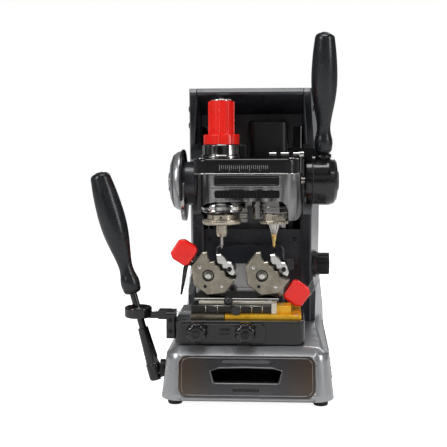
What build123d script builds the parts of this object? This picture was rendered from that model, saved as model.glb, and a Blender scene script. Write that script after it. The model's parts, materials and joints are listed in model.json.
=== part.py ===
from build123d import *
import math
import os

# Key duplicating machine: a bench machine that copies a key. A tracer follows the
# original key in the left clamp while a milling cutter, at the same spacing, cuts the
# blank in the right clamp. A joystick moves the cross table in X and Y, and a lever on
# the right lowers the head in Z by a pinion on a fixed rack.
# Frame: millimetres, +X right, +Y towards the back, +Z up. The origin is the centre of
# the footprint, on the surface the feet stand on.

# ---------------------------------------------------------------- driving dimensions
FOOT_H = 9.0            # rubber foot height, bottom of the base
BASE_W, BASE_D = 184.0, 285.0
BASE_YC = -2.5          # centre of the base in Y
BASE_Z1 = 57.0          # top of the near-vertical base walls
BASE_TOP = 63.5         # plateau under the cross table
WALL = 3.0

TX, SX, TY = -31.8, 27.4, -45.0     # tracer axis, spindle axis, their common Y
CXL, CXR, CZ = -38.5, 20.7, 136.0   # clamp centres; 59.2 apart, like the tools
OCT = 23.8                          # clamp jaw, half across flats
OCT_ROT = 7.0                       # clamp turned this far at rest, degrees

SHAFT_Y, SHAFT_Z = -8.0, 234.0      # feed shaft axis, along X
PITCH_R, TEETH = 16.0, 16           # feed pinion, module 2
LEAN = 12.0                         # the feed lever leans forward this much at rest
HEAD_TRAVEL = 24.0

PIV = (-104.0, -95.0, 32.0)         # joystick pivot
LEV_A = 15.1                        # joystick tilt to the left, degrees
RING_Z = 94.5                       # centre height of the joystick ring

ROD_X, ROD_Y, ROD_R = 38.0, 40.0, 6.0     # vertical guide rods
MOT_X, MOT_Y = 20.4, 5.0                  # motor axis

os.makedirs("parts", exist_ok=True)
made = {}


# ---------------------------------------------------------------- helpers
def bx(x0, x1, y0, y1, z0, z1):
    return Pos((x0 + x1) / 2, (y0 + y1) / 2, (z0 + z1) / 2) * Box(x1 - x0, y1 - y0, z1 - z0)


def cz(x, y, r, z0, z1, r2=None):
    if r2 is None:
        return Pos(x, y, (z0 + z1) / 2) * Cylinder(r, z1 - z0)
    return Pos(x, y, (z0 + z1) / 2) * Cone(r, r2, z1 - z0)


def cx(y, z, r, x0, x1):
    return Pos((x0 + x1) / 2, y, z) * Rot(0, 90, 0) * Cylinder(r, x1 - x0)


def cy(x, z, r, y0, y1):
    return Pos(x, (y0 + y1) / 2, z) * Rot(90, 0, 0) * Cylinder(r, y1 - y0)


def poly_yz(pts, x0, x1):
    """Prism along X from a polygon of (y, z) points."""
    f = make_face(Polyline([(x0, y, z) for y, z in pts], close=True))
    return extrude(f, x1 - x0, dir=(1, 0, 0))


def poly_xz(pts, y0, y1):
    f = make_face(Polyline([(x, y0, z) for x, z in pts], close=True))
    return extrude(f, y1 - y0, dir=(0, 1, 0))


def poly_xy(pts, z0, z1):
    f = make_face(Polyline([(x, y, z0) for x, y in pts], close=True))
    return extrude(f, z1 - z0, dir=(0, 0, 1))


def rr(x0, x1, y0, y1, r, z0, z1):
    """Upright block with rounded vertical corners."""
    return extrude(Pos((x0 + x1) / 2, (y0 + y1) / 2, z0) * RectangleRounded(x1 - x0, y1 - y0, r), z1 - z0)


def rrxz(x0, x1, z0, z1, r, y0, y1):
    """Block with rounded corners seen from the front."""
    s = Pos((x0 + x1) / 2, y0, (z0 + z1) / 2) * Rot(-90, 0, 0) * RectangleRounded(x1 - x0, z1 - z0, r)
    return extrude(s, y1 - y0, dir=(0, 1, 0))


def fil(shape, edges, r):
    """Fillet, with smaller radii tried if the full one can't be made."""
    for k in (1.0, 0.8, 0.6, 0.4):
        try:
            out = fillet(edges, r * k)
            if out.is_valid and out.volume > 0:
                return out
        except Exception:
            pass
    print("fillet skipped")
    return shape


def revolve_z(pts, x, y):
    """Solid of revolution about a vertical axis from (r, z) points."""
    f = make_face(Polyline([(x + r, y, z) for r, z in pts], close=True))
    return revolve(f, Axis((x, y, 0), (0, 0, 1)))


def revolve_x(pts, y, z):
    """Solid of revolution about an X axis from (x, r) points."""
    f = make_face(Polyline([(a, y, z + r) for a, r in pts], close=True))
    return revolve(f, Axis((0, y, z), (1, 0, 0)))


def hull_xy(circles, z0, z1, n=48):
    pts = []
    for px, py, r in circles:
        for i in range(n):
            a = 2 * math.pi * i / n
            pts.append((px + r * math.cos(a), py + r * math.sin(a)))
    pts = sorted(set((round(a, 6), round(b, 6)) for a, b in pts))

    def half(ps):
        out = []
        for p in ps:
            while len(out) > 1 and (out[-1][0] - out[-2][0]) * (p[1] - out[-2][1]) - (out[-1][1] - out[-2][1]) * (p[0] - out[-2][0]) <= 1e-9:
                out.pop()
            out.append(p)
        return out

    lo, hi = half(pts), half(pts[::-1])
    return poly_xy(lo[:-1] + hi[:-1], z0, z1)


def emit(name, *shapes):
    solids = []
    for s in shapes:
        solids += list(s.solids())
    c = solids[0] if len(solids) == 1 else Compound(children=solids)
    export_step(c, f"parts/{name}.step")
    made[name] = c


# ---------------------------------------------------------------- base
def base_body(inset, zlow):
    w, d = BASE_W - 2 * inset, BASE_D - 2 * inset
    r = 22 - inset
    h1 = BASE_Z1 - FOOT_H
    t1 = math.degrees(math.atan(6.0 / h1))
    low = extrude(Pos(0, BASE_YC, FOOT_H) * RectangleRounded(w, d, r), h1 - (0 if inset == 0 else 1.0), taper=t1)
    z1 = BASE_Z1 - (0 if inset == 0 else 1.0)
    k = 6.0 * (z1 - FOOT_H) / h1
    h2 = (BASE_TOP if inset == 0 else BASE_TOP - WALL) - z1
    up = extrude(Pos(0, BASE_YC, z1) * RectangleRounded(w - 2 * k, d - 2 * k, max(r - k, 1)), h2, taper=58)
    out = low + up
    if zlow < FOOT_H:
        out += extrude(Pos(0, BASE_YC, zlow) * RectangleRounded(w, d, r), FOOT_H - zlow)
    return out


def column_loft(inset, zs):
    """Outer skin of the column, wider at the back and flaring at the foot."""
    table = {9.0: (78.5, 92.0), 63.5: (75.0, 90.0), 100.0: (72.5, 86.0), 130.0: (71.5, 84.0), 345.0: (74.5, 85.0)}
    faces = []
    for z in zs:
        zc = min(table, key=lambda k: abs(k - z))
        f22, r125 = table[zc]
        slope = (r125 - f22) / 103.0
        wf = f22 - slope * 62 - inset
        wr = r125 - inset
        yr1, yr = 125.0 - inset, 137.0 - inset
        pts = [(-wf, -40), (wf, -40), (wr, yr1), (wr - 9, yr), (-(wr - 9), yr), (-wr, yr1)]
        faces.append(make_face(Polyline([(a, b, z) for a, b in pts], close=True)))
    return loft(faces, ruled=True)


SPLIT = 100.0
lower_loft = column_loft(0, [9.0, 63.5, 100.0])
lower_in = column_loft(WALL, [9.0, 63.5, 100.0])
skirt = lower_loft & bx(-100, 100, 22, 137, FOOT_H, SPLIT)
skirt_in = (lower_in & bx(-100, 100, 22 + WALL, 137, FOOT_H - 1, SPLIT + 1))
body = base_body(0, FOOT_H)
shell = body + skirt
shell -= base_body(WALL, FOOT_H - 1)
shell -= skirt_in
DR_W, DR_Z0, DR_Z1 = 71.4, 13.1, 55.9
shell -= rrxz(-DR_W - 0.4, DR_W + 0.4, DR_Z0 - 0.4, DR_Z1 + 0.4, 9.4, -150, -128)
shell -= bx(-60.3, 60.3, 20, 30, BASE_TOP, 102)          # front panel seat
shell -= bx(-62, 62, 48, 114, 50, 70)                    # column frame passes through
shell -= bx(-46.2, 6.2, 125, 145, 19.8, 50.2)            # power inlet module
shell += cx(PIV[1], PIV[2], 12, -90.4, -80) & bx(-91, -80, -110, -80, 12, 56)
shell -= cx(PIV[1], PIV[2], 8.05, -100, -70)             # joystick knuckle bore
sup = bx(-40, 34, -108, -101, BASE_TOP - 2, 76.5)        # lugs for the Y rods
sup2 = bx(-40, 34, -12, -3, BASE_TOP - 2, 76.5)
shell += sup + sup2
for rx in (-30, 24):
    shell -= cy(rx, 71.5, 4.02, -112, 0)
emit("base_shell", shell)

plate = extrude(Pos(0, BASE_YC, FOOT_H) * RectangleRounded(BASE_W - 8, BASE_D - 8, 17), 3)
plate &= bx(-90, 90, -150, 133.5, 0, 20)
FEET = [(-78, -120), (78, -120), (-78, 112), (78, 112)]
for fx, fy in FEET:
    plate -= cz(fx, fy, 3.2, 0, 20)
for s in (-1, 1):
    plate += bx(s * 49 - 3, s * 49 + 3, -132, -8, 11.5, 13.95)
emit("base_plate", plate)

feet = []
for fx, fy in FEET:
    f = cz(fx, fy, 7.6, 0, FOOT_H, 8.8)
    f = fil(f, f.edges().filter_by(GeomType.CIRCLE).group_by(Axis.Z)[0], 1.2)
    feet.append(f + cz(fx, fy, 3.0, FOOT_H, FOOT_H + 5))
emit("rubber_feet", *feet)

# ---------------------------------------------------------------- drawer
front = body & rrxz(-DR_W, DR_W, DR_Z0, DR_Z1, 9, -150, -134)
slot_pts = [(-38.0, 40.5), (-30, 42.8), (0, 43.6), (28, 43.0), (36.0, 41.0), (33.4, 29.6), (31.5, 28.4), (-33, 28.4), (-35, 29.6)]
tray = bx(-64, 64, -136, -12, 14.0, 49) - bx(-62, 62, -134, -14, 16.0, 60)
drawer = front + tray
drawer -= poly_xz(slot_pts, -155, -133)
emit("drawer", drawer)

# ---------------------------------------------------------------- column frame and guides
frame = bx(-50, 50, 56, 104, 12, 316) - bx(-42, 42, 64, 96, 22, 320) + bx(-58, 58, 50, 112, 12, 20)
frame += bx(-52, 52, 29, 57, 162, 171.5)
frame += bx(-52, 52, 33.2, 57, 303, 312)
for sx in (-ROD_X, ROD_X):
    frame -= cz(sx, ROD_Y, ROD_R + 0.03, 160, 314)
frame -= cy(0, 60, 20, 50, 110)
emit("column_frame", frame)
emit("z_guide_rods", *[cz(s * ROD_X, ROD_Y, ROD_R, 162, 312) for s in (-1, 1)])


def gear_tooth_pts(n, m, addm, dedm, pa, back, cy0, cz0):
    """Outline of an involute pinion in the YZ plane, one tooth pointing along +Y at rest."""
    rp = m * n / 2
    rb = rp * math.cos(math.radians(pa))
    ra, rf = rp + addm, rp - dedm
    inv = lambda a: math.tan(a) - a
    half = math.pi / (2 * n) - back / (2 * rp)
    a0 = half + inv(math.radians(pa))
    pts = []
    for k in range(n):
        c = 2 * math.pi * k / n
        flank = []
        r0 = max(rb, rf)
        for i in range(5):
            r = r0 + (ra - r0) * i / 4
            a = math.acos(min(1, rb / r))
            flank.append((r, a0 - inv(a)))
        left = [(rf, flank[0][1])] + flank if rf < rb else flank
        for r, t in left:
            pts.append((r, c - t))
        for r, t in left[::-1]:
            pts.append((r, c + t))
    return [(cy0 + r * math.cos(t), cz0 + r * math.sin(t)) for r, t in pts]


MOD = 2.0
PIN_X0, PIN_X1 = -15.0, -4.0
pinion = poly_yz(gear_tooth_pts(TEETH, MOD, 1.6, 2.0, 20, 0.16, SHAFT_Y, SHAFT_Z), PIN_X0, PIN_X1)
pinion = pinion + cx(SHAFT_Y, SHAFT_Z, 5.0, -90, 70)
emit("pinion_shaft", pinion)

# rack: a space at the pinion's tooth, straight 20 degree flanks
pl = SHAFT_Y + PITCH_R
tp = math.tan(math.radians(20))
pitch = math.pi * MOD
rack_pts = []
tip, root = pl - 1.6, pl + 2.0
qt = pitch / 4 - 0.08
z = SHAFT_Z - 7.5 * pitch
zs_teeth = [SHAFT_Z + (k + 0.5) * pitch for k in range(-8, 3)]
for zt in zs_teeth:
    rack_pts += [(root, zt - qt - 2.0 * tp), (tip, zt - qt + 1.6 * tp), (tip, zt + qt - 1.6 * tp), (root, zt + qt + 2.0 * tp)]
RK0, RK1 = zs_teeth[0] - 3.1, zs_teeth[-1] + 3.1
rack = poly_yz([(root, RK0)] + rack_pts + [(root, RK1), (17.5, RK1), (17.5, RK0)], -14, -5)
rack += bx(-12.5, -6.5, 17, 56, RK0, RK1)
emit("z_rack", rack)

# ---------------------------------------------------------------- column covers
profile = [(22, SPLIT), (22, 190), (24, 204), (43, 244), (45, 270), (-31, 331.0), (-33, 335.5), (-29, 340.2),
           (72, 343.5), (118, 323), (137, 284), (137, SPLIT)]
up_loft = column_loft(0, [100.0, 130.0, 345.0])
up_in = column_loft(WALL, [100.0, 130.0, 345.0])
prof = poly_yz(profile, -110, 110)
pf = make_face(Polyline([(0, y, z) for y, z in profile], close=True))
pin_face = offset(pf, -WALL)
prof_in = extrude(pin_face, 110, dir=(1, 0, 0), both=True)
col = up_loft & prof
cav = up_in & (prof_in + bx(-110, 110, 25, 134, SPLIT - 1, SPLIT + 4))
side = col - (cav & (bx(64, 110, -60, 140, 90, 360) + bx(-110, -64, -60, 140, 90, 360)))
POT_Y, POT_Z = 45.0, 129.7
right_s = side & bx(61, 120, -60, 140, SPLIT + 0.3, 360)
right_s -= bx(60, 64.5, 55, 130, SPLIT - 1, 300)
right_s -= cx(POT_Y, POT_Z, 17.2, 60, 90)
left_s = side & bx(-120, -61, -60, 140, SPLIT + 0.3, 360)
left_s -= bx(-64.5, -60, 55, 130, SPLIT - 1, 300)
emit("right_side_shell", right_s)
emit("left_side_shell", left_s)

vis = poly_yz([(-33, 335.5), (-31, 332.5), (30, 312), (30, 297), (32.5, 297), (32.5, 314.2), (-23, 336.6), (-20, 337.9), (71.5, 340.8), (117, 320.4),
               (118, 323), (72, 343.5), (-29, 340.2)], -60.8, 60.8)
emit("visor", vis)

rear = poly_yz([(134, BASE_TOP + 37), (137, BASE_TOP + 37), (137, 284), (118.3, 322.4), (117.2, 320.2), (134, 283)], -60.8, 60.8)
for i in range(7):
    rear -= rrxz(-34, 34, 150 + i * 12, 155 + i * 12, 2.4, 130, 140)
emit("rear_cover", rear)

fp = bx(-60, 60, 25, 27.5, BASE_TOP + 0.3, 174)
fp += rrxz(-43.4, 39.8, 72, 157, 8, 13.5, 26)
fp = fil(fp, fp.faces().sort_by(Axis.Y)[0].edges(), 2.0)
for s in (1, -1):
    pts = [(s * 58.4, 21.4), (s * 60.2, 20.2), (s * 69.5, 16.4), (s * 71.2, 17.4), (s * 71.8, 21.7), (s * 60.2, 21.7), (s * 60.2, 27.5), (s * 58.4, 27.5)]
    if s < 0:
        pts = pts[::-1]
    fp += poly_xy(pts, BASE_TOP + 0.3, 192)
    wing = [(s * 60, BASE_TOP + 0.3), (s * 76.0, BASE_TOP + 0.3), (s * 77.0, 98), (s * 71, 130), (s * 60, 130)]
    if s < 0:
        wing = wing[::-1]
    fp += poly_xz(wing, 17.6, 21.7)
emit("front_panel", fp)

guards = []
for s in (1, -1):
    pts = [(s * 67.0, 105), (s * 69.0, 105), (s * 79.0, 121), (s * 77.0, 121)]
    if s < 0:
        pts = pts[::-1]
    guards.append(poly_xz(pts, -46, 15.2))
emit("chip_guards", *guards)

# ---------------------------------------------------------------- head
hc = bx(-54.6, 53.6, -66, 0, 214, 243.5)
hc = fil(hc, hc.edges().filter_by(Axis.Z).group_by(Axis.Y)[0], 13)
hc += bx(-55, 54, -4.5, 52, 205, 260.5)
boss_r = rr(2, 54, -40, -6, 8, 192, 215)
boss_l = rr(-55, -6, -36, -6, 8, 203.5, 215)
hc += boss_r + boss_l
hc += cx(SHAFT_Y, SHAFT_Z, 7.0, -76, -50)
hc += cx(SHAFT_Y, SHAFT_Z - 17, 30, -80, -75.6)
hc -= cz(TX, TY, 10.05, 180, 270)
hc -= cz(SX, TY, 13.03, 213.5, 270)
hc -= cz(SX, TY, 17.0, 180, 214)
hc -= cz(TX, TY, 24.5, 180, 214)
for sx in (-ROD_X, ROD_X):
    hc -= cz(sx, ROD_Y, 10.53, 200, 265)
hc += cx(SHAFT_Y, SHAFT_Z - 3, 22, -79, -62.6)
hc -= cx(SHAFT_Y, SHAFT_Z, 5.04, -90, 90)
hc -= cx(SHAFT_Y, SHAFT_Z, 18.4, -17, -2)
hc -= bx(-17, -2, 4, 60, 200, 270)
hc -= bx(8.6, 42.4, -10, 20, 245.3, 258)
hc -= cz(MOT_X, MOT_Y, 4, 250, 270)
nose = cz(SX, TY, 16.0, 199.6, 214.5)
nose = fil(nose, nose.edges().filter_by(GeomType.CIRCLE).group_by(Axis.Z)[0], 1.2)
hc += nose - cz(SX, TY, 13.03, 199, 216)
emit("head_casting", hc)

hs = bx(-59, 58, -72, 0, 193, 244)
hs = fil(hs, hs.edges().filter_by(Axis.Z).group_by(Axis.Y)[0], 16)
hi = bx(-56, 55, -69, 5, 180, 250)
hi = fil(hi, hi.edges().filter_by(Axis.Z).group_by(Axis.Y)[0], 13)
hs -= hi
hs -= poly_xz([(-70, 180), (-70, 203), (-57.8, 203.6), (-54, 207), (-49, 210.6), (-43, 213), (2, 214), (36, 214), (41, 210), (43.5, 203), (44.5, 180)], -80, 10)
hs -= poly_xz([(50, 192.0), (54.5, 194.5), (57.5, 199), (59, 206), (70, 206), (70, 180), (50, 180)], -80, 10)
hs -= rrxz(-42, 37.5, 215.6, 250, 5, -80, -70.6)
hs -= rrxz(-38.5, 34, 217.6, 226.2, 3, -80, -60)
hs -= cx(SHAFT_Y, SHAFT_Z, 7.4, -70, 70)
emit("head_shell", hs)

lid = bx(-62, 56.3, -78, -6, 244.2, 261.5)
lid = fil(lid, lid.edges().filter_by(Axis.Z).group_by(Axis.Y)[0], 17)
lid = fil(lid, lid.faces().sort_by(Axis.Z)[-1].edges(), 3)
li = bx(-59, 53.3, -75, -9, 240, 258.3)
li = fil(li, li.edges().filter_by(Axis.Z).group_by(Axis.Y)[0], 14)
lid -= li
lid -= bx(8, 43, -20, 0, 240, 258.3)
lid -= bx(-18, 8.1, -30, 0, 240, 256)
lid -= cz(MOT_X, MOT_Y, 20.3, 255, 265)
lid -= cz(TX, TY, 10.5, 240, 270)
for px in (32.5, 46.5):
    lid += bx(px - 2.5, px + 2.5, -39.5, -30.5, 261.0, 269.6)
lid -= cx(-35, 265.2, 2.64, 20, 60)
emit("head_lid", lid)

bear = []
for sx in (-ROD_X, ROD_X):
    for z0 in (205.5, 236.5):
        bear.append(cz(sx, ROD_Y, 10.5, z0, z0 + 23.5) - cz(sx, ROD_Y, ROD_R + 0.04, z0 - 1, z0 + 25))
for z0 in (200.5, 233):
    bear.append(cz(SX, TY, 13.0, z0, z0 + 9) - cz(SX, TY, 6.0, z0 - 1, z0 + 10))
emit("head_bearings", *bear)

bell = revolve_z([(10.6, 213.8), (17.5, 213.8), (20.5, 209), (23.4, 203.2), (23.4, 201.4), (21.6, 201.4), (18.6, 207), (15.8, 211.2), (10.6, 211.2)], TX, TY)
ring0 = revolve_z([(9.2, 261.6), (23.2, 261.6), (23.2, 264), (22.0, 265.4), (9.2, 265.4)], TX, TY)
ring1 = revolve_z([(9.2, 265.4), (21.4, 265.4), (21.4, 275.6), (20.6, 276.7), (9.2, 276.7)], TX, TY)
emit("tracer_collars", bell, ring0 + ring1)

motor = cz(MOT_X, MOT_Y, 19.8, 260.8, 296) + cz(MOT_X, MOT_Y, 14, 296, 299)
motor -= cz(MOT_X, MOT_Y, 3.05, 260, 268)
emit("motor", motor)
mc = rr(-2.7, 43.5, -20, 28.5, 9, 261.8, 303.5)
mc = fil(mc, mc.faces().sort_by(Axis.Z)[-1].edges(), 4)
mc -= rr(-0.7, 41.5, -18, 26.5, 7, 260, 301.3)
mc += rr(43.0, 81.5, 9, 21, 1.5, 261.8, 271.6)
emit("motor_cover", mc)
mp = cz(MOT_X, MOT_Y, 11, 247, 257) - cz(MOT_X, MOT_Y, 12, 249.2, 254.8) + cz(MOT_X, MOT_Y, 9.6, 248, 256) + cz(MOT_X, MOT_Y, 3.0, 246, 266)
emit("motor_pulley", mp)
belt = hull_xy([(MOT_X, MOT_Y, 11.1), (SX, TY, 14.6)], 249.6, 254.4) - hull_xy([(MOT_X, MOT_Y, 9.75), (SX, TY, 13.25)], 249, 255)
emit("drive_belt", belt)

cap = revolve_x([(-80.2, 0), (-80.2, 34.3), (-82.5, 34.6), (-86.5, 33.2), (-90.5, 29.2), (-93.2, 22), (-94.2, 12), (-94.2, 0)], SHAFT_Y, SHAFT_Z)
cap -= revolve_x([(-80.0, 0), (-80.0, 31), (-84.0, 30.5), (-88.0, 26), (-91.2, 18), (-91.8, 0)], SHAFT_Y, SHAFT_Z)
emit("spring_cap", cap)

# tracer
knob = cz(TX, TY, 20.3, 276.9, 288)
knob = fil(knob, knob.edges().filter_by(GeomType.CIRCLE).group_by(Axis.Z)[-1], 1.2)
grip = cz(TX, TY, 14.9, 287, 324.6)
for i in range(10):
    a = 2 * math.pi * (i + 0.5) / 10
    grip -= cz(TX + 16.6 * math.cos(a), TY + 16.6 * math.sin(a), 2.9, 289, 330)
for i in range(8):
    a = 2 * math.pi * i / 8
    knob -= cz(TX + 22.6 * math.cos(a), TY + 22.6 * math.sin(a), 4.2, 270, 290)
knob = knob + grip + cz(TX, TY, 12.6, 324, 325.6) + cz(TX, TY, 4.0, 243, 277)
emit("tracer_knob", knob)

quill = cz(TX, TY, 10.0, 186, 257) + cz(TX, TY, 6.3, 176, 187) + cz(TX, TY, 5.2, 172.6, 176.2, 6.3)
quill -= cz(TX, TY, 3.0, 170, 200)
quill -= cz(TX, TY, 5.0, 199, 240)
quill -= cz(TX, TY, 4.1, 239, 260)
tring = revolve_z([(9.5, 186.6), (20.8, 186.6), (21.7, 187.4), (21.7, 192.2), (20.8, 192.8), (16.3, 192.8), (16.3, 197.6), (15.6, 198.3), (9.5, 198.3)], TX, TY)
tring -= cy(TX, 195.6, 1.3, -70, TY - 12)
emit("tracer_quill", quill + tring)

tp_pts = [(0, 158.9), (0.7, 158.9), (1.6, 162.5), (1.6, 173.5), (2.95, 175.5), (2.95, 204), (4.6, 204.6), (4.6, 212), (2.0, 212.6), (2.0, 216), (0, 216)]
emit("tracer_point", revolve_z(tp_pts, TX, TY))

SPR0, SPR1 = 212.9, 239.0
path = Helix(pitch=4.2, height=SPR1 - SPR0 - 3.0, radius=3.75, center=(TX, TY, SPR0 + 0.75))
sp = sweep(Plane(origin=path @ 0, z_dir=path % 0) * Circle(0.65), path=path, is_frenet=True)
emit("tracer_spring", sp)

# spindle
ss = cz(SX, TY, 5.97, 196, 258) + cz(SX, TY, 7.9, 188, 199.9)
ss += cz(SX, TY, 14.5, 247, 257) - cz(SX, TY, 16, 249.2, 254.8) + cz(SX, TY, 13.1, 248, 256)
ss -= cz(SX, TY, 3.1, 180, 205)
emit("spindle_shaft", ss)
nut = extrude(Pos(SX, TY, 190.4) * RegularPolygon(12.9, 8), 8.6) + cz(SX, TY, 16.4, 187.4, 190.6)
nut &= revolve_z([(0, 187), (15.8, 187), (16.4, 187.8), (16.4, 190.2), (15.9, 190.7), (12.9, 191), (12.9, 197.6), (11.8, 199.0), (0, 199.0)], SX, TY)
nut -= cz(SX, TY, 7.95, 187.9, 200)
nut -= cz(SX, TY, 7.2, 180, 200)
emit("collet_nut", nut)
collet = cz(SX, TY, 3.3, 175.3, 187.8, 7.1) - cz(SX, TY, 3.03, 170, 190)
cut = revolve_z([(0, 159.9), (0.8, 159.9), (1.5, 161.2), (1.7, 166.5), (3.0, 173.5), (3.0, 204), (0, 204)], SX, TY)
emit("collet", collet)
emit("cutter", cut)

# feed lever
hub = revolve_x([(62.2, 0), (62.2, 25.5), (64.2, 27.6), (68, 28.2), (90, 28.4), (96, 26.4), (99.4, 21.5), (100.6, 14), (100.6, 0)], SHAFT_Y, SHAFT_Z)
hub -= cx(SHAFT_Y, SHAFT_Z, 5.04, 60, 70.2)
GX = 83.8
lean = Pos(GX, SHAFT_Y, SHAFT_Z) * Rot(LEAN, 0, 0)
hub += lean * Pos(0, 0, 33) * Cylinder(5.0, 26)
hub += lean * Pos(0, 0, 29) * Cylinder(7.6, 5)
emit("lever_hub", hub)

GRIP = [(0, 0), (6.4, 0), (8.4, 1.6), (10.0, 6), (10.5, 11), (10.0, 16), (8.7, 21), (7.9, 26), (7.8, 31), (8.6, 38), (10.4, 48), (12.6, 60), (14.2, 73),
        (14.7, 84), (14.5, 95), (13.7, 108), (12.5, 120), (11.3, 129), (10.2, 133.2), (8.0, 135.2), (4, 136), (0, 136.2)]


def grip_solid():
    """Turned handle grip standing on its lower end, axis +Z, with a bore for the rod."""
    spl = Spline([(r, 0, z) for r, z in GRIP[1:-1]])
    top = Line(spl @ 1, (0, 0, 136.2))
    ax = Line((0, 0, 136.2), (0, 0, 0))
    bot = Line((0, 0, 0), spl @ 0)
    g = revolve(make_face([spl, top, ax, bot]), Axis.Z)
    return g - Pos(0, 0, 7) * Cylinder(5.05, 16)


emit("right_grip", lean * Pos(0, 0, 33.4) * grip_solid())

pin = cx(-35, 265.2, 2.6, 22, 60) + cx(-35, 265.2, 3.5, 56, 61)
emit("spindle_lock_pin", pin)

# ---------------------------------------------------------------- cross table
emit("y_guide_rods", *[cy(rx, 71.5, 4.0, -108, -3) for rx in (-30, 24)])

sad = bx(-51, 45, -83, -47, 65.2, 77.6) + bx(-51, -43, -83, -47, 77.6, 87) + bx(37, 45, -83, -47, 77.6, 87)
for rx in (-30, 24):
    sad -= cy(rx, 71.5, 4.04, -90, -40)
xr = []
for ry in (-76, -54):
    sad -= cx(ry, 82.6, 3.52, -60, 60)
    xr.append(cx(ry, 82.6, 3.5, -51, 45))
emit("saddle_block", sad)
emit("x_guide_rods", *xr)

tc = bx(-78.6, 60.9, -122, -24, 65, 90)
tc = fil(tc, tc.edges().filter_by(Axis.Z).group_by(Axis.Y)[0], 9)
tc = fil(tc, tc.faces().sort_by(Axis.Z)[-1].edges(), 1.8)
pad = rrxz(-71, 19.6, 66.2, 87.2, 4, -125, -121)
pad = fil(pad, pad.faces().sort_by(Axis.Y)[0].edges(), 1.2)
tc += pad
ti = bx(-76.1, 58.4, -119.5, -20, 60, 87.5)
ti = fil(ti, ti.edges().filter_by(Axis.Z).group_by(Axis.Y)[0], 6.5)
tc -= ti
KL, KR, KZ = -53.4, -1.9, 79.6
for kx in (KL, KR):
    tc -= cy(kx, KZ, 3.0, -130, -110)
tc -= rrxz(-30.2, -18.4, 76.2, 82.8, 1.5, -130, -123)
tb = bx(-31, 13, -83, -47, 78.2, 88.0)
for ry in (-76, -54):
    tb -= cx(ry, 82.6, 3.54, -40, 20)
emit("table_cover", tc + tb)


def lobed(kx):
    k = cy(kx, KZ, 9.0, -138.5, -126.2)
    for i in range(8):
        a = 2 * math.pi * i / 8 + 0.2
        k += cy(kx + 8.2 * math.cos(a), KZ + 8.2 * math.sin(a), 2.6, -138.5, -126.2)
    k = fil(k, k.faces().sort_by(Axis.Y)[0].edges(), 1.6)
    return k + cy(kx, KZ, 6, -126.3, -125.2) + cy(kx, KZ, 2.9, -126, -106)


emit("x_lock_knob", lobed(KL))
emit("y_lock_knob", lobed(KR))

rb = bx(-62, 57.5, -112, -32, 90, 94.5) + bx(-62, 26.6, -103, -38, 94.5, 103.4) + bx(26.6, 46.6, -103, -83, 94.5, 103.4)
STX, STZ = -12.7, 99.6
rb -= cy(STX, STZ, 3.05, -106, -90)
emit("riser_block", rb)
cp = bx(-54, 31, -97, -42, 103.4, 107) + bx(25.4, 31, -106.5, -96, 103.4, 107) + bx(25.4, 31, -106.5, -103.2, 94.7, 105)
emit("clamp_plate", cp)
car = bx(-59, 33, -93, -50, 107, 109.6)
car = fil(car, car.edges().filter_by(Axis.X).group_by(Axis.Y)[0].sort_by(Axis.Z)[-1:], 1.8)
up = rrxz(-60, 42, 105, 144, 9, -64.5, -58.5) & bx(-70, 60, -70, -50, 107, 150)
car += up + bx(-59, 33, -66, -50, 109, 117)
for c in (CXL, CXR):
    car -= cy(c, CZ, 8.05, -70, -50)
emit("clamp_carrier", car)

arm = cz(-120.9, -95, 15.0, 88.5, 100.5)
arm = fil(arm, arm.edges().filter_by(GeomType.CIRCLE), 2.2)
neck = bx(-110, -86, -99, -91, 87.8, 94.0) + bx(-98, -84, -104, -91, 87.8, 97.6)
neck = fil(neck, neck.edges().filter_by(Axis.Y), 1.0)
brk = bx(-87.4, -78.7, -117, -92, 69, 97.8)
brk = fil(brk, brk.edges().filter_by(Axis.X), 2.5)
arm = arm + neck + brk - revolve_z([(0, 80), (13.4, 87.5), (10.0, 92.5), (10.0, 96.5), (13.4, 101.5), (0, 108)], -120.9, -95)
emit("lever_ring_arm", arm)

ct = bx(-103, -62.6, -89.2, -34, 90.2, 91.8) + bx(-104.6, -103, -90.6, -34, 90.2, 96.5) + bx(-103, -62.6, -90.6, -89.2, 90.2, 94.5)
emit("chip_tray", ct)

arm_p = [(0, 0), (1.8, 0), (1.8, 8.2)] + [(5.0 * math.cos(math.radians(a)), 12.6 + 5.0 * math.sin(math.radians(a))) for a in range(-60, 90, 10)] + [(0, 17.6)]
arm_r = revolve(make_face(Polyline([(r, 0, z) for r, z in arm_p], close=True)), Axis.Z)
sl = cy(STX, STZ, 4.9, -113, -103.4) + cy(STX, STZ, 2.95, -104, -92)
sl += Pos(STX, -108.6, STZ) * Rot(0, -41, 0) * arm_r
emit("stop_lever", sl)


# ---------------------------------------------------------------- clamps
def octagon(c):
    pts = []
    for i in range(8):
        a = math.radians(OCT_ROT + 22.5 + 45 * i)
        R = OCT / math.cos(math.radians(22.5))
        pts.append((c + R * math.cos(a), CZ + R * math.sin(a)))
    return pts


def turn(pts, c):
    return [(c + u, CZ + v) for u, v in pts]


CUT = [(-8.5, 40), (-7.0, 17.5), (-3.6, 12.0), (0.6, 12.6), (2.2, 8.0), (6.4, 7.0), (7.6, 2.4), (11.6, 2.2), (13.2, -4.0), (40, -13), (50, 10), (30, 45)]
JAW = [(3.4, 15.2), (4.8, 10.6), (9.0, 9.6), (10.2, 5.2), (14.6, 5.0), (16.4, -1.2), (21.6, -3.4), (23.4, 0.8), (22.2, 7.4), (19.4, 12.0), (15.6, 12.4), (13.0, 16.6), (8.0, 21.0), (3.0, 20.5)]


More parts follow.
